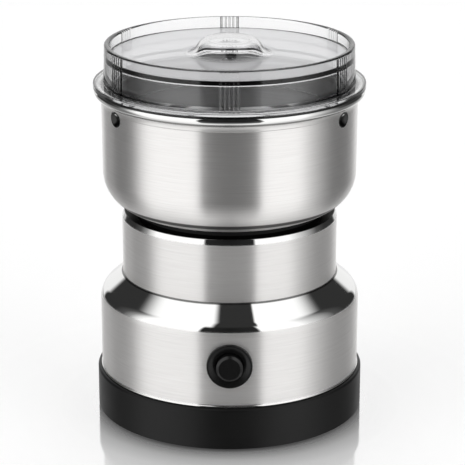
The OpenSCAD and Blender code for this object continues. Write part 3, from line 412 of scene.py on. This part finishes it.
def with_hole(grid, faces, centre_z, radius, wall_radius, rings=6):
    """Cuts a round hole through the front of a revolved grid.

    The quads near the hole are dropped. Rings of points then run from the square edge that this
    leaves to the hole's circle, on the straight line between the two, laid onto the round wall of
    radius R: a point x to the side goes to y = -sqrt(R^2 - x^2).
    """
    rows, columns = grid.shape[:2]
    reach = radius * 1.5
    offset, height = grid[0, :, 0], grid[:, 0, 2]
    front = grid[0, :, 1] < 0
    inside_columns = np.flatnonzero(front & (np.abs(offset) < reach))
    inside_rows = np.flatnonzero(np.abs(height - centre_z) < reach)
    left, right = inside_columns[0], inside_columns[-1]
    low, high = inside_rows[0], inside_rows[-1]
    row, column = faces[:, 0] // columns, faces[:, 0] % columns
    dropped = (row >= low) & (row < high) & (column >= left) & (column < right)
    bottom = [(low, c) for c in range(left, right)]
    rising = [(r, right) for r in range(low, high)]
    top_edge = [(high, c) for c in range(right, left, -1)]
    falling = [(r, left) for r in range(high, low, -1)]
    edge = np.array(bottom + rising + top_edge + falling)
    edge_points = grid[edge[:, 0], edge[:, 1]]
    flat = np.stack([edge_points[:, 0], edge_points[:, 2] - centre_z], -1)
    circle = flat * (radius / np.linalg.norm(flat, axis=1))[:, None]
    share = np.linspace(0, 1, rings + 1)[1:, None, None]
    laid = flat * (1 - share) + circle * share
    across, up = laid[..., 0], laid[..., 1] + centre_z
    patch = np.stack([across, -np.sqrt(wall_radius ** 2 - across ** 2), up], -1)
    count = len(edge)
    outer = (edge[:, 0] * columns + edge[:, 1])[None]
    loops = np.concatenate([outer, rows * columns + np.arange(rings * count).reshape(rings, count)])
    after = np.roll(loops, -1, axis=1)
    ring_faces = np.stack([loops[:-1], after[:-1], after[1:], loops[1:]], -1).reshape(-1, 4)
    points = np.concatenate([grid.reshape(-1, 3), patch.reshape(-1, 3)])
    return points, np.concatenate([faces[~dropped], ring_faces])


housing_faces = grid_faces(len(housing_path), len(side_turns), wrap_rows=False)
motor_housing = mesh_object("motor_housing_shell", *with_hole(
    housing_grid, housing_faces, button_z, hole_r, housing_r))
smooth(motor_housing)
sheet = motor_housing.modifiers.new("sheet", "SOLIDIFY")
sheet.thickness = housing_t
sheet.offset = -1
# The rolled edge, the shoulder and the neck's upper edge are polished
housing_polish = [
    (0.0, 0), (17.3 * mm, 0.9), (18.2 * mm, 0.9), (18.4 * mm, 0), (47.0 * mm, 0), (47.3 * mm, 1),
    (neck_foot - 0.15 * mm, 1), (neck_foot + 0.05 * mm, 0), (neck_top - edge_h - 0.1 * mm, 0),
    (neck_top - edge_h + 0.1 * mm, 1), (0.1, 1)]
# Painted shade: a dark line round the neck's foot, where it meets the shoulder, and a dark rim on its upper
# edge, in the gap under the bowl
housing_painted_shade = [
    (neck_foot - 0.6 * mm, 1), (neck_foot - 0.4 * mm, 0.2), (neck_foot + 0.05 * mm, 0.2),
    (neck_foot + 0.25 * mm, 1), (neck_top - 0.2 * mm, 1), (neck_top - 0.05 * mm, 0.06)]
motor_housing.data.materials.append(steel("housing_steel", housing_polish, housing_painted_shade, satin=0.35))
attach(motor_housing, "base")
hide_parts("motor_housing")


# ---- Bowl ----------------------------------------------------------------------------------------
# A deep-drawn steel bowl, fixed on the neck. Its mouth is rolled over into a polished rim, and
# three polished dimples, pressed in below the rim, hold the lid's lugs.
bowl_r, bowl_draft, bowl_t = 48.9 * mm, 0.2 * mm, 0.8 * mm
bowl_z, rim_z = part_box("bowl")[0][2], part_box("bowl")[1][2]
bowl_round, bush_hole_r = 14.5 * mm, 7.1 * mm
rim_r, roll_r = 51.7 * mm, 1.8 * mm
flare_r, flare_sink = 3.4 * mm, 0.72 * mm
dimple_d, dimple_depth, dimple_z = 5.4 * mm, 1.5 * mm, rim_z - 7.9 * mm
dimple_turns, dimple_stretch = np.array([90, 210, 330]), 1.3
close_rise, close_turn = 3.3 * mm, 5.1
flare_end, roll_start, roll_end = 122, -118, 176
dimple_ball = (dimple_d ** 2 / 4 + dimple_depth ** 2) / (2 * dimple_depth)
dimple_centre = bowl_r + dimple_ball - dimple_depth
roll_centre = np.array([rim_r - roll_r, rim_z - roll_r])
flare_centre = (bowl_r + flare_r, rim_z - 2 * roll_r - flare_r + flare_sink)
wall_foot = bowl_r - bowl_draft


def bowl_side(inset):
    """The bowl's outline from its middle hole to its mouth, set in by a distance.

    Rows lie close together from close_rise under the dimples' middles to close_rise above them.
    """
    floor_z = bowl_z + inset
    corners = [(bush_hole_r, floor_z), (wall_foot - inset, floor_z), (bowl_r - inset, flare_centre[1])]
    straight = rounded(corners, [bowl_round - inset], steps=24, longest=1.6 * mm)
    dimple_rows = np.abs(straight[:, 1] - dimple_z) < close_rise + 0.1 * mm
    close = np.linspace(dimple_z - close_rise, dimple_z + close_rise, 31)
    wall_r = np.interp(close, [bowl_z, flare_centre[1]], [wall_foot - inset, bowl_r - inset])
    below = straight[(straight[:, 1] < dimple_z) & ~dimple_rows]
    above_dimples = straight[(straight[:, 1] > dimple_z) & ~dimple_rows]
    mouth = arc(flare_centre, flare_r + inset, 180, flare_end, 10)
    return np.concatenate([below, np.stack([wall_r, close], -1), above_dimples[:-1], mouth])


def apart_by(turns, middles):
    """The angle from each turn to the nearest of some middles, in degrees."""
    return np.abs((turns[:, None] - middles[None] + 180) % 360 - 180).min(axis=1)


roll = arc(roll_centre, roll_r, roll_start, roll_end, 40)
outer_side, inner_side = bowl_side(0), bowl_side(bowl_t)
outer_side = outer_side[outer_side[:, 1] < roll[0, 1]]
inner_side = inner_side[inner_side[:, 1] < roll[-1, 1]]
bowl_path = np.concatenate([outer_side, roll, inner_side[::-1]])
near_dimples = (dimple_turns[:, None] + np.linspace(-close_turn, close_turn, 41)[None]).ravel() % 360
plain_turns = np.arange(0, 360, 1.25)
plain_turns = plain_turns[apart_by(plain_turns, dimple_turns) > close_turn + 0.3]
bowl_turns = np.sort(np.concatenate([plain_turns, near_dimples]))


def dimpled(radius, height, turns, thickness):
    """The wall's radius with the dimples pressed in.

    Each dimple is part of a ball whose middle lies outside the wall, stretched round the bowl by
    dimple_stretch. At an angle of d times that from the dimple's middle and a height h above it,
    the ball's near side is at c cos d - sqrt(R^2 - h^2 - (c sin d)^2), and the wall stays inside it.
    """
    ball_r = dimple_ball + thickness
    pressed = np.broadcast_to(radius, (len(height), len(turns))).copy()
    for middle in dimple_turns:
        off = np.radians((turns - middle + 180) % 360 - 180)[None] / dimple_stretch
        under = ball_r ** 2 - (height - dimple_z) ** 2 - (dimple_centre * np.sin(off)) ** 2
        near_side = dimple_centre * np.cos(off) - np.sqrt(np.maximum(under, 0))
        reached = (under > 0) & (np.abs(off) < 0.2)
        pressed = np.where(reached, np.minimum(pressed, near_side), pressed)
    return pressed


def store(piece, name, values):
    """Gives a mesh one value a point under a name, which its material reads."""
    piece.data.attributes.new(name, "FLOAT", "POINT").data.foreach_set("value", values)


is_inner = (np.arange(len(bowl_path)) >= len(outer_side) + len(roll))[:, None]
path_r, path_z = bowl_path[:, :1], bowl_path[:, 1:]
bowl_radius = np.where(is_inner, dimpled(path_r, path_z, bowl_turns, bowl_t),
                       dimpled(path_r, path_z, bowl_turns, 0))
bowl_points = revolve(bowl_radius, path_z, bowl_turns).reshape(-1, 3)
bowl = mesh_object("bowl_sheet", bowl_points, grid_faces(len(bowl_path), len(bowl_turns), True))
smooth(bowl)
point = np.empty((len(bowl.data.vertices), 3))
bowl.data.vertices.foreach_get("co", point.ravel())
# Painted shade darkens each dimple, but for two small spots in its upper half that are left unshaded, where
# the steel's own reflection shows as glints
glint_across, glint_up, glint_r = 1.2 * mm, 1.4 * mm, 0.5 * mm
off_dimple = (np.degrees(np.arctan2(point[:, 1], point[:, 0])) - dimple_turns[0] + 60) % 120 - 60
across, up = np.radians(off_dimple) * bowl_r, point[:, 2] - dimple_z
from_dimple = np.hypot(across / dimple_stretch, up)
from_glint = np.hypot(np.abs(across) - glint_across, up - glint_up)
in_dimple = np.clip((dimple_d / 2 + 0.3 * mm - from_dimple) / (0.2 * mm), 0, 1)
store(bowl, "polish", in_dimple)
store(bowl, "painted_shade_mask", in_dimple * np.clip((from_glint - glint_r) / (0.3 * mm), 0, 1))
store(bowl, "inside", np.repeat(is_inner.ravel(), len(bowl_turns)).astype(float))
# The rim is polished. Painted shade darkens the bottom a little and lays a dark line round the bottom's edge
bowl_polish = [(0.08, 0), (rim_z - 4.2 * mm, 0), (rim_z - 3.9 * mm, 1), (0.14, 1)]
bowl_painted_shade = [
    (bowl_z + 2.8 * mm, 0.9), (bowl_z + 3.2 * mm, 0.15), (bowl_z + 4.6 * mm, 0.15), (bowl_z + 5.1 * mm, 1)]
bowl.data.materials.append(steel("bowl_steel", bowl_polish, bowl_painted_shade, satin=0.1))
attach(bowl, "base")
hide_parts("bowl")


# ---- Black base ----------------------------------------------------------------------------------
# The base, its bottom cover, and the cord inlet's bush are black mouldings with a satin skin.
# Fine sink and flow marks of the mould break up the shine.
def moulded(name, colour, roughness, grain, scale=900, shine=0.5):
    """A moulded plastic or rubber: soft clouds in its roughness and colour, and a fine bump.

    grain is the bump's strength and scale its fineness. shine is the strength of the reflection.
    """
    made, tree = material(name)
    place = add(tree, "TexCoord").outputs["Object"]
    skin = add(tree, "TexNoise", {"Vector": place, "Scale": scale, "Detail": 4}).outputs["Fac"]
    cloud = add(tree, "TexNoise", {"Vector": place, "Scale": 60, "Detail": 3}).outputs["Fac"]
    rough = linear(tree, cloud, 0.3, 0.7, roughness * 0.88, roughness * 1.12)
    darker = tuple(c * 0.85 for c in colour[:3]) + (1,)
    tint = blend(tree, cloud, darker, colour)
    bump = add(tree, "Bump", {"Strength": grain, "Distance": 0.05 * mm, "Height": skin})
    shader = add(tree, "BsdfPrincipled", {
        "Base Color": tint, "Roughness": rough, "Normal": bump.outputs[0], "Specular IOR Level": shine})
    add(tree, "OutputMaterial", {"Surface": shader.outputs[0]})
    return made


def dress(finish, *nodes):
    """Gives CAD nodes a finish in place of their plain one."""
    for name in nodes:
        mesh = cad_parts[name].data
        mesh.materials.clear()
        mesh.materials.append(finish)


base_black = moulded("base_black", (0.007, 0.007, 0.007, 1), 0.40, grain=0.12, shine=0.28)
dress(base_black, "base_ring", "bottom_cover", "cord_gland")


# ---- Bezel and push button -----------------------------------------------------------------------
# The bezel is a dished ring of glossier black plastic, held from inside by a nut. The button's
# cap has a bevelled face and slides in the bezel's bore.
def facing_front(radius, depth, turns):
    """Turns a profile about the button's axis: depth runs from the front towards +Y."""
    a = np.radians(turns)[None]
    grid = np.broadcast_arrays(radius * np.cos(a), depth, button_z - radius * np.sin(a))
    return np.stack(grid, -1)


def on_wall(radius):
    """The depth at which a ring about the button's axis meets the housing's wall.

    A point x to the side of the axis meets a wall of radius R at y = -sqrt(R^2 - x^2). The ring
    stays wall_gap in front of that.
    """
    aside = radius * np.cos(np.radians(front_turns))
    return -np.sqrt(housing_r ** 2 - aside ** 2) - wall_gap


cap_r, cap_bevel, cap_h, stem_r = 5.05 * mm, 0.9 * mm, 5.6 * mm, 2.8 * mm
bezel_r, bezel_proud, bezel_lip, dish_depth = 8.6 * mm, 1.1 * mm, 0.7 * mm, 0.7 * mm
bore_r, barrel_r, barrel_start = cap_r + 0.2 * mm, 6.8 * mm, 2.2 * mm
wall_gap, on_axis = 0.02 * mm, 0.0001 * mm
cap_face, stem_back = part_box("button_cap")[0][1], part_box("button_cap")[1][1]
cap_back = cap_face + cap_h
bezel_face, bezel_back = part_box("switch_bezel")[0][1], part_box("switch_bezel")[1][1]
front_turns = np.arange(0, 360, 3.0)
trim_black = moulded("trim_black", (0.010, 0.010, 0.010, 1), 0.24, grain=0.04)

bezel_path = rounded([
    (bezel_r, bezel_face + bezel_proud), (bezel_r, bezel_face), (bezel_r - bezel_lip, bezel_face),
    (bore_r, bezel_face + dish_depth), (bore_r, bezel_back), (barrel_r, bezel_back),
    (barrel_r, bezel_face + barrel_start)],
    [0.35 * mm, 0.3 * mm, 0.25 * mm, 0.1 * mm, 0.1 * mm], steps=8, longest=1.5 * mm)
bezel_depth = np.repeat(bezel_path[:, 1:], len(front_turns), axis=1)
bezel_depth[0], bezel_depth[-1] = on_wall(bezel_r), on_wall(barrel_r)
bezel_points = facing_front(bezel_path[:, :1], bezel_depth, front_turns)[::-1]
bezel = mesh_object("bezel_ring", bezel_points.reshape(-1, 3), grid_faces(*bezel_points.shape[:2], True))
smooth(bezel)
bezel.data.materials.append(trim_black)
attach(bezel, "base")
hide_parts("switch_bezel")

cap_path = rounded([
    (on_axis, cap_face), (cap_r - cap_bevel, cap_face), (cap_r, cap_face + cap_bevel),
    (cap_r, cap_back), (stem_r, cap_back), (stem_r, stem_back), (on_axis, stem_back)],
    [0.22 * mm, 0.15 * mm, 0.15 * mm, 0.1 * mm, 0.2 * mm], steps=8, longest=1.5 * mm)
cap_points = facing_front(cap_path[:, :1], cap_path[:, 1:], front_turns)[::-1]
cap = mesh_object("push_cap", cap_points.reshape(-1, 3), grid_faces(*cap_points.shape[:2], False))
smooth(cap)
cap.data.materials.append(trim_black)
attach(cap, "button")
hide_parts("button_cap")


# ---- Lid -----------------------------------------------------------------------------------------
# One clear moulding: a skirt with three lugs that enters the bowl, a flange with a thin lip that
# lies on the rim, a wall with six fluted grips, and a sunk top, slightly hazy, that rises to a
# low dome in the middle.
lid_r, lid_draft, lid_t = 47.9 * mm, 0.4 * mm, 2.1 * mm
flange_top, lid_top = rim_z + 1.4 * mm, rim_z + 16 * mm
sunk_z, top_t = lid_top - 4.3 * mm, 1.5 * mm
flange_r, skirt_t = rim_r + 0.2 * mm, 1.6 * mm
skirt_r, skirt_z = bowl_r - dimple_depth - bowl_t - 0.3 * mm, rim_z - 13 * mm
dome_h, crown_r, crown_tilt = 7.3 * mm, 29 * mm, 18
dome_bend, dome_slope = 6 * mm, 62


def dome(depth):
    """The dome's outline from the top's flat to the axis, sunk by a depth into the plastic.

    Three arcs that run into one another: a flare, a tighter bend and a wide crown.
    """
    crown = crown_r - depth
    bend = dome_bend - depth
    tilt, slope = math.radians(crown_tilt), math.radians(dome_slope)
    tilt_point = crown_r * np.array([math.sin(tilt), math.cos(tilt)]) + (0, sunk_z + dome_h - crown_r)
    bend_centre = tilt_point - dome_bend * np.array([math.sin(tilt), math.cos(tilt)])
    bend_end_z = bend_centre[1] + dome_bend * math.cos(slope)
    flare = (bend_end_z - sunk_z) / (1 - math.cos(slope))
    flare_centre = bend_centre + (dome_bend + flare) * np.array([math.sin(slope), math.cos(slope)])
    foot = arc(flare_centre, flare + depth, -90, -90 - dome_slope, 12)
    turn = arc(bend_centre, bend, 90 - dome_slope, 90 - crown_tilt, 12)
    top = arc((0, sunk_z + dome_h - crown_r), crown, 90 - crown_tilt, 90, 10)
    return np.concatenate([foot, turn[1:], top[1:]])


wall_in = lid_r - lid_draft - lid_t
cavity_r = wall_in - 0.2 * mm
skirt_in, lip_in, lip_z = skirt_r - skirt_t, flange_r - 0.45 * mm, rim_z - 0.6 * mm
dome_top, dome_under = dome(0), dome(top_t)
shell = rounded([
    (dome_under[0][0], dome_under[0][1]), (cavity_r, sunk_z - top_t), (cavity_r, flange_top + 1 * mm),
    (skirt_in, flange_top - 0.4 * mm), (skirt_in, skirt_z), (skirt_r, skirt_z), (skirt_r, rim_z),
    (lip_in, rim_z), (lip_in, lip_z), (flange_r, lip_z), (flange_r, flange_top), (lid_r, flange_top),
    (lid_r - lid_draft, lid_top), (wall_in, lid_top), (wall_in, sunk_z), (dome_top[0][0], sunk_z)],
    [0.5 * mm, 0.3 * mm, 0.1 * mm, 0.1 * mm, 0.1 * mm, 0.2 * mm, 0.1 * mm, 0.15 * mm, 0.2 * mm, 0.3 * mm,
     0.35 * mm, 0.8 * mm, 0.9 * mm, 0.4 * mm], steps=8, longest=2.2 * mm)
lid_path = np.concatenate([dome_under[::-1], shell[1:-1], dome_top])

# Lugs: where each begins and ends round the lid, in degrees from its dimple, and its levels
lug_free, lock_turn, lock_play, stop_w, stop_back = 2.5, 15, 1, 4, 0.5
lug_r, lug_gap, lug_t = bowl_r - bowl_draft - bowl_t - 0.2 * mm, 0.3 * mm, 1.5 * mm
nub_drop = math.sqrt((dimple_ball + bowl_t) ** 2 - (dimple_centre - lug_r) ** 2)
nub_turn = math.degrees(math.asin(nub_drop / lug_r))
lug_top = dimple_z - nub_drop - lug_gap
lug_z = lug_top - lug_t
lug_start, lug_stop = nub_turn + lug_free, nub_turn + lock_turn + lock_play
lug_end = lug_stop + stop_w
stop_end = lug_end - stop_back
row_edge, column_edge = np.array([-0.04, 0.04]) * mm, np.array([-0.05, 0.05])
lug_rows = (np.array([lug_z, lug_top, dimple_z])[:, None] + row_edge).ravel()
tolerance, skirt_margin = 1e-6, 0.4 * mm
on_skirt = np.abs(lid_path[:, 0] - skirt_r) < tolerance
on_skirt &= (lid_path[:, 1] > skirt_z + skirt_margin) & (lid_path[:, 1] < rim_z - skirt_margin)
skirt_rows = np.sort(np.concatenate([lid_path[on_skirt][:, 1], lug_rows]))
first, last = np.flatnonzero(on_skirt)[[0, -1]]
new_skirt = np.stack([np.full(len(skirt_rows), skirt_r), skirt_rows], -1)
lid_path = np.concatenate([lid_path[:first], new_skirt, lid_path[last + 1:]])

# Grips: half widths and slopes in degrees round the lid
grip_turns, flute_count = np.arange(-90, 270, 60), 5
pad_h, flute_h, pad_slope, flute_slope = 0.45 * mm, 0.25 * mm, 0.42, 0.3
pad_low, pad_high, pad_blur = flange_top + 0.25 * mm, lid_top - 0.6 * mm, 0.1 * mm
grip_half = math.degrees(math.asin(3.8 * mm / lid_r))
flute_half = math.degrees(math.asin(0.35 * mm / lid_r))
flute_turns = np.linspace(-grip_half, grip_half, flute_count + 1)[:-1] + grip_half / flute_count
pad_columns = grip_half - pad_slope * np.linspace(0, 1, 6)
flute_columns = (flute_turns[:, None] + (flute_half * np.linspace(-1, 1, 9))[None]).ravel()
grip_columns = np.concatenate([-pad_columns, flute_columns, pad_columns])
near_grips = (grip_turns[:, None] + grip_columns[None]).ravel() % 360
lug_edges = (np.array([lug_start, lug_stop, stop_end, lug_end])[:, None] + column_edge).ravel()
near_lugs = (dimple_turns[:, None] + lug_edges[None]).ravel() % 360
wide_turns = np.arange(0, 360, 2.0)
wide_turns = wide_turns[apart_by(wide_turns, grip_turns) > grip_half + 0.8]
lid_turns = np.unique(np.concatenate([wide_turns, near_grips, near_lugs]))


def between(values, low, high, blur):
    """1 where values lie from low to high, falling linearly to 0 over blur outside."""
    return np.clip(np.minimum(values - low, high - values) / blur + 1, 0, 1)


def eased(share):
    """A smooth step: 3 s^2 - 2 s^3 for a share s held between 0 and 1."""
    held = np.clip(share, 0, 1)
    return held * held * (3 - 2 * held)


def raised(turns, height):
    """How far the lid's wall stands out: six pads, each with five flutes, over most of its height."""
    off = (turns[:, None] - grip_turns[None] + 180) % 360 - 180
    off = off[np.arange(len(turns)), np.abs(off).argmin(axis=1)]
    from_flute = np.abs(off[:, None] - flute_turns[None]).min(axis=1)
    pad = eased((grip_half - np.abs(off)) / pad_slope)
    flutes = eased((flute_half - from_flute) / flute_slope)
    tall = between(height, pad_low, pad_high, pad_blur)
    return tall * (pad_h * pad + flute_h * flutes)[None]


def lugs(turns, height):
    """How far the skirt stands out: a shelf that slides under each dimple, and a stop on its end."""
    turn_blur, level_blur = 0.05, 0.01 * mm
    off = (turns[:, None] - dimple_turns[None]) % 360
    off = off.min(axis=1)[None]
    shelf = between(off, lug_start, lug_end, turn_blur) * between(height, lug_z, lug_top, level_blur)
    stop = between(off, lug_stop, stop_end, turn_blur) * between(height, lug_z, dimple_z, level_blur)
    return np.maximum(shelf * (lug_r - skirt_r), stop * (lug_r - skirt_r - 0.1 * mm))


lid_radius, lid_height = lid_path[:, :1], lid_path[:, 1:]
outer_wall = (lid_radius > lid_r - lid_draft - 0.6 * mm) & (lid_height > flange_top + 0.2 * mm)
outer_skirt = np.abs(lid_radius - skirt_r) < tolerance
relief = outer_wall * raised(lid_turns, lid_height) + outer_skirt * lugs(lid_turns, lid_height)
lid_grid = revolve(lid_radius + relief, lid_height, lid_turns)
lid = mesh_object("clear_lid", lid_grid.reshape(-1, 3), grid_faces(len(lid_path), len(lid_turns), False))
smooth(lid)
lid.data.set_sharp_from_angle(angle=math.radians(32))

clear_plastic, clear = material("clear_plastic")
lid_place = add(clear, "TexCoord").outputs["Object"]
waves = add(clear, "TexNoise", {"Vector": lid_place, "Scale": 70, "Detail": 2}).outputs["Fac"]
wavy = add(clear, "Bump", {"Strength": 0.08, "Distance": 0.06 * mm, "Height": waves})
faint = blend(clear, waves, (0.985, 0.985, 0.99, 1), (0.995, 0.995, 0.998, 1))
axes = add(clear, "SeparateXYZ", {0: lid_place}).outputs
squared_x = calc(clear, "MULTIPLY", axes["X"], axes["X"])
squared_y = calc(clear, "MULTIPLY", axes["Y"], axes["Y"])
from_middle = calc(clear, "SQRT", calc(clear, "ADD", squared_x, squared_y))
# Painted shade: the flange's lower outer edge, over the crevice at the rim, and the wall's upper edge are
# tinted near black
near_lip = linear(clear, from_middle, flange_r - 1.3 * mm, flange_r - 0.7 * mm)
under_flange = linear(clear, axes["Z"], rim_z + 0.35 * mm, rim_z + 0.2 * mm)
near_wall = linear(clear, from_middle, lid_r - 1.0 * mm, lid_r - 0.8 * mm)
near_top = linear(clear, axes["Z"], lid_top - 0.6 * mm, lid_top - 0.4 * mm)
low_edge = calc(clear, "MULTIPLY", near_lip, under_flange)
rim_edge = calc(clear, "MULTIPLY", near_wall, near_top)
edge_shaded = blend(clear, calc(clear, "MAXIMUM", low_edge, rim_edge), faint, (0.01, 0.01, 0.01, 1))
glassy = add(clear, "BsdfPrincipled", {
    "Base Color": edge_shaded, "Roughness": 0.0, "IOR": 1.53, "Transmission Weight": 1.0,
    "Normal": wavy.outputs[0]})
# The haze lies on the outside of the sunk top, from the dome's foot to the wall
off_dome = softly(clear, from_middle, 13 * mm, 18 * mm)
within_wall = calc(clear, "LESS_THAN", from_middle, wall_in - 1 * mm)
on_top = calc(clear, "GREATER_THAN", axes["Z"], sunk_z - 0.1 * mm)
on_plate = calc(clear, "MULTIPLY", off_dome, calc(clear, "MULTIPLY", within_wall, on_top))
from_outside = calc(clear, "SUBTRACT", 1, add(clear, "NewGeometry").outputs["Backfacing"])
haze_share = calc(clear, "MULTIPLY", on_plate, calc(clear, "MULTIPLY", from_outside, 0.48))
haze = add(clear, "BsdfDiffuse", {"Color": (0.95, 0.95, 0.97, 1)})
hazy = add(clear, "MixShader", {0: haze_share, 1: glassy.outputs[0], 2: haze.outputs[0]})
add(clear, "OutputMaterial", {"Surface": hazy.outputs[0]})
lid.data.materials.append(clear_plastic)
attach(lid, "lid")
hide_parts("lid")


# ---- Lid seal and rubber parts -------------------------------------------------------------------
# A ring of clear silicone sits under the lid's flange. The bowl's gasket, the shaft seal and the
# feet are black rubber.
clear_silicone, silicone = material("clear_silicone")
seal_place = add(silicone, "TexCoord").outputs["Object"]
milk = add(silicone, "TexNoise", {"Vector": seal_place, "Scale": 300, "Detail": 3}).outputs["Fac"]
milky = blend(silicone, milk, (0.90, 0.91, 0.92, 1), (0.97, 0.97, 0.98, 1))
silicone_shader = add(silicone, "BsdfPrincipled", {
    "Base Color": milky, "Roughness": 0.12, "IOR": 1.41, "Transmission Weight": 1.0})
add(silicone, "OutputMaterial", {"Surface": silicone_shader.outputs[0]})
dress(clear_silicone, "lid_seal")
black_rubber = moulded("black_rubber", (0.016, 0.016, 0.016, 1), 0.62, grain=0.2, scale=1600)
dress(black_rubber, "bowl_gasket", "shaft_seal", "rubber_feet")


# ---- Blades, bush and fixings --------------------------------------------------------------------
# The blades are stamped from sheet and ground; the bush, washer, nut and spacer are turned. Screws
# and springs are plain bright steel.
def bright(name, colour, roughness, line_scale, metallic=1.0, depth=0.05):
    """A bright metal with fine marks of grinding or turning, packed by line_scale along X, Y and Z.

    depth is the depth of the marks in millimetres.
    """
    made, tree = material(name)
    place = add(tree, "TexCoord").outputs["Object"]
    marks_place = add(tree, "Mapping", {"Vector": place, "Scale": line_scale}).outputs[0]
    marks = add(tree, "TexNoise", {"Vector": marks_place, "Scale": 1, "Detail": 4}).outputs["Fac"]
    dull = add(tree, "TexNoise", {"Vector": place, "Scale": 90, "Detail": 3}).outputs["Fac"]
    rough = linear(tree, dull, 0.3, 0.7, roughness * 0.8, roughness * 1.25)
    darker = tuple(c * 0.88 for c in colour[:3]) + (1,)
    tint = blend(tree, marks, darker, colour)
    bump = add(tree, "Bump", {"Strength": 0.2, "Distance": depth * mm, "Height": marks})
    shader = add(tree, "BsdfPrincipled", {
        "Base Color": tint, "Metallic": metallic, "Roughness": rough, "Normal": bump.outputs[0]})
    add(tree, "OutputMaterial", {"Surface": shader.outputs[0]})
    return made


dress(bright("ground_steel", (0.72, 0.72, 0.73, 1), 0.26, (400, 2600, 400)), "blade_lower", "blade_upper")
dress(bright("turned_steel", (0.68, 0.68, 0.68, 1), 0.24, (300, 300, 3000)), "bowl_bushing", "bushing_nut",
      "cover_screws", "motor_screws", "rotor_shaft", "blade_spacer", "blade_washer", "blade_nut")
dress(bright("spring_wire", (0.62, 0.62, 0.63, 1), 0.3, (900, 900, 900)), "button_spring", "brush_springs")


# ---- Motor and switch ----------------------------------------------------------------------------
# The series motor hangs from its upper bracket inside the housing: laminated cores, enamelled
# windings, a copper commutator with carbon brushes in brass holders, and a moulded fan.
dress(bright("laminations", (0.26, 0.27, 0.28, 1), 0.5, (60, 60, 2400), depth=0.1),
      "stator_core", "armature_core")
dress(bright("enamelled_wire", (0.60, 0.27, 0.12, 1), 0.34, (1500, 1500, 1500), metallic=0.8, depth=0.2),
      "field_coils", "armature_windings")
dress(bright("commutator_copper", (0.72, 0.36, 0.20, 1), 0.28, (60, 60, 2600)), "commutator")
dress(bright("pressed_brass", (0.70, 0.55, 0.25, 1), 0.3, (700, 700, 700)),
      "brush_holders", "switch_terminals")
dress(bright("sintered_bronze", (0.55, 0.37, 0.16, 1), 0.55, (2200, 2200, 2200), depth=0.08), "bearing_top",
      "bearing_bottom")
dress(moulded("pressed_carbon", (0.03, 0.03, 0.032, 1), 0.5, grain=0.25, scale=2400), "carbon_brushes")
dress(moulded("glass_filled_nylon", (0.06, 0.06, 0.065, 1), 0.5, grain=0.3, scale=1200), "motor_bracket_top",
      "motor_bracket_bottom", "cooling_fan")
dress(moulded("switch_black", (0.014, 0.014, 0.014, 1), 0.38, grain=0.1), "switch_body", "switch_nut")
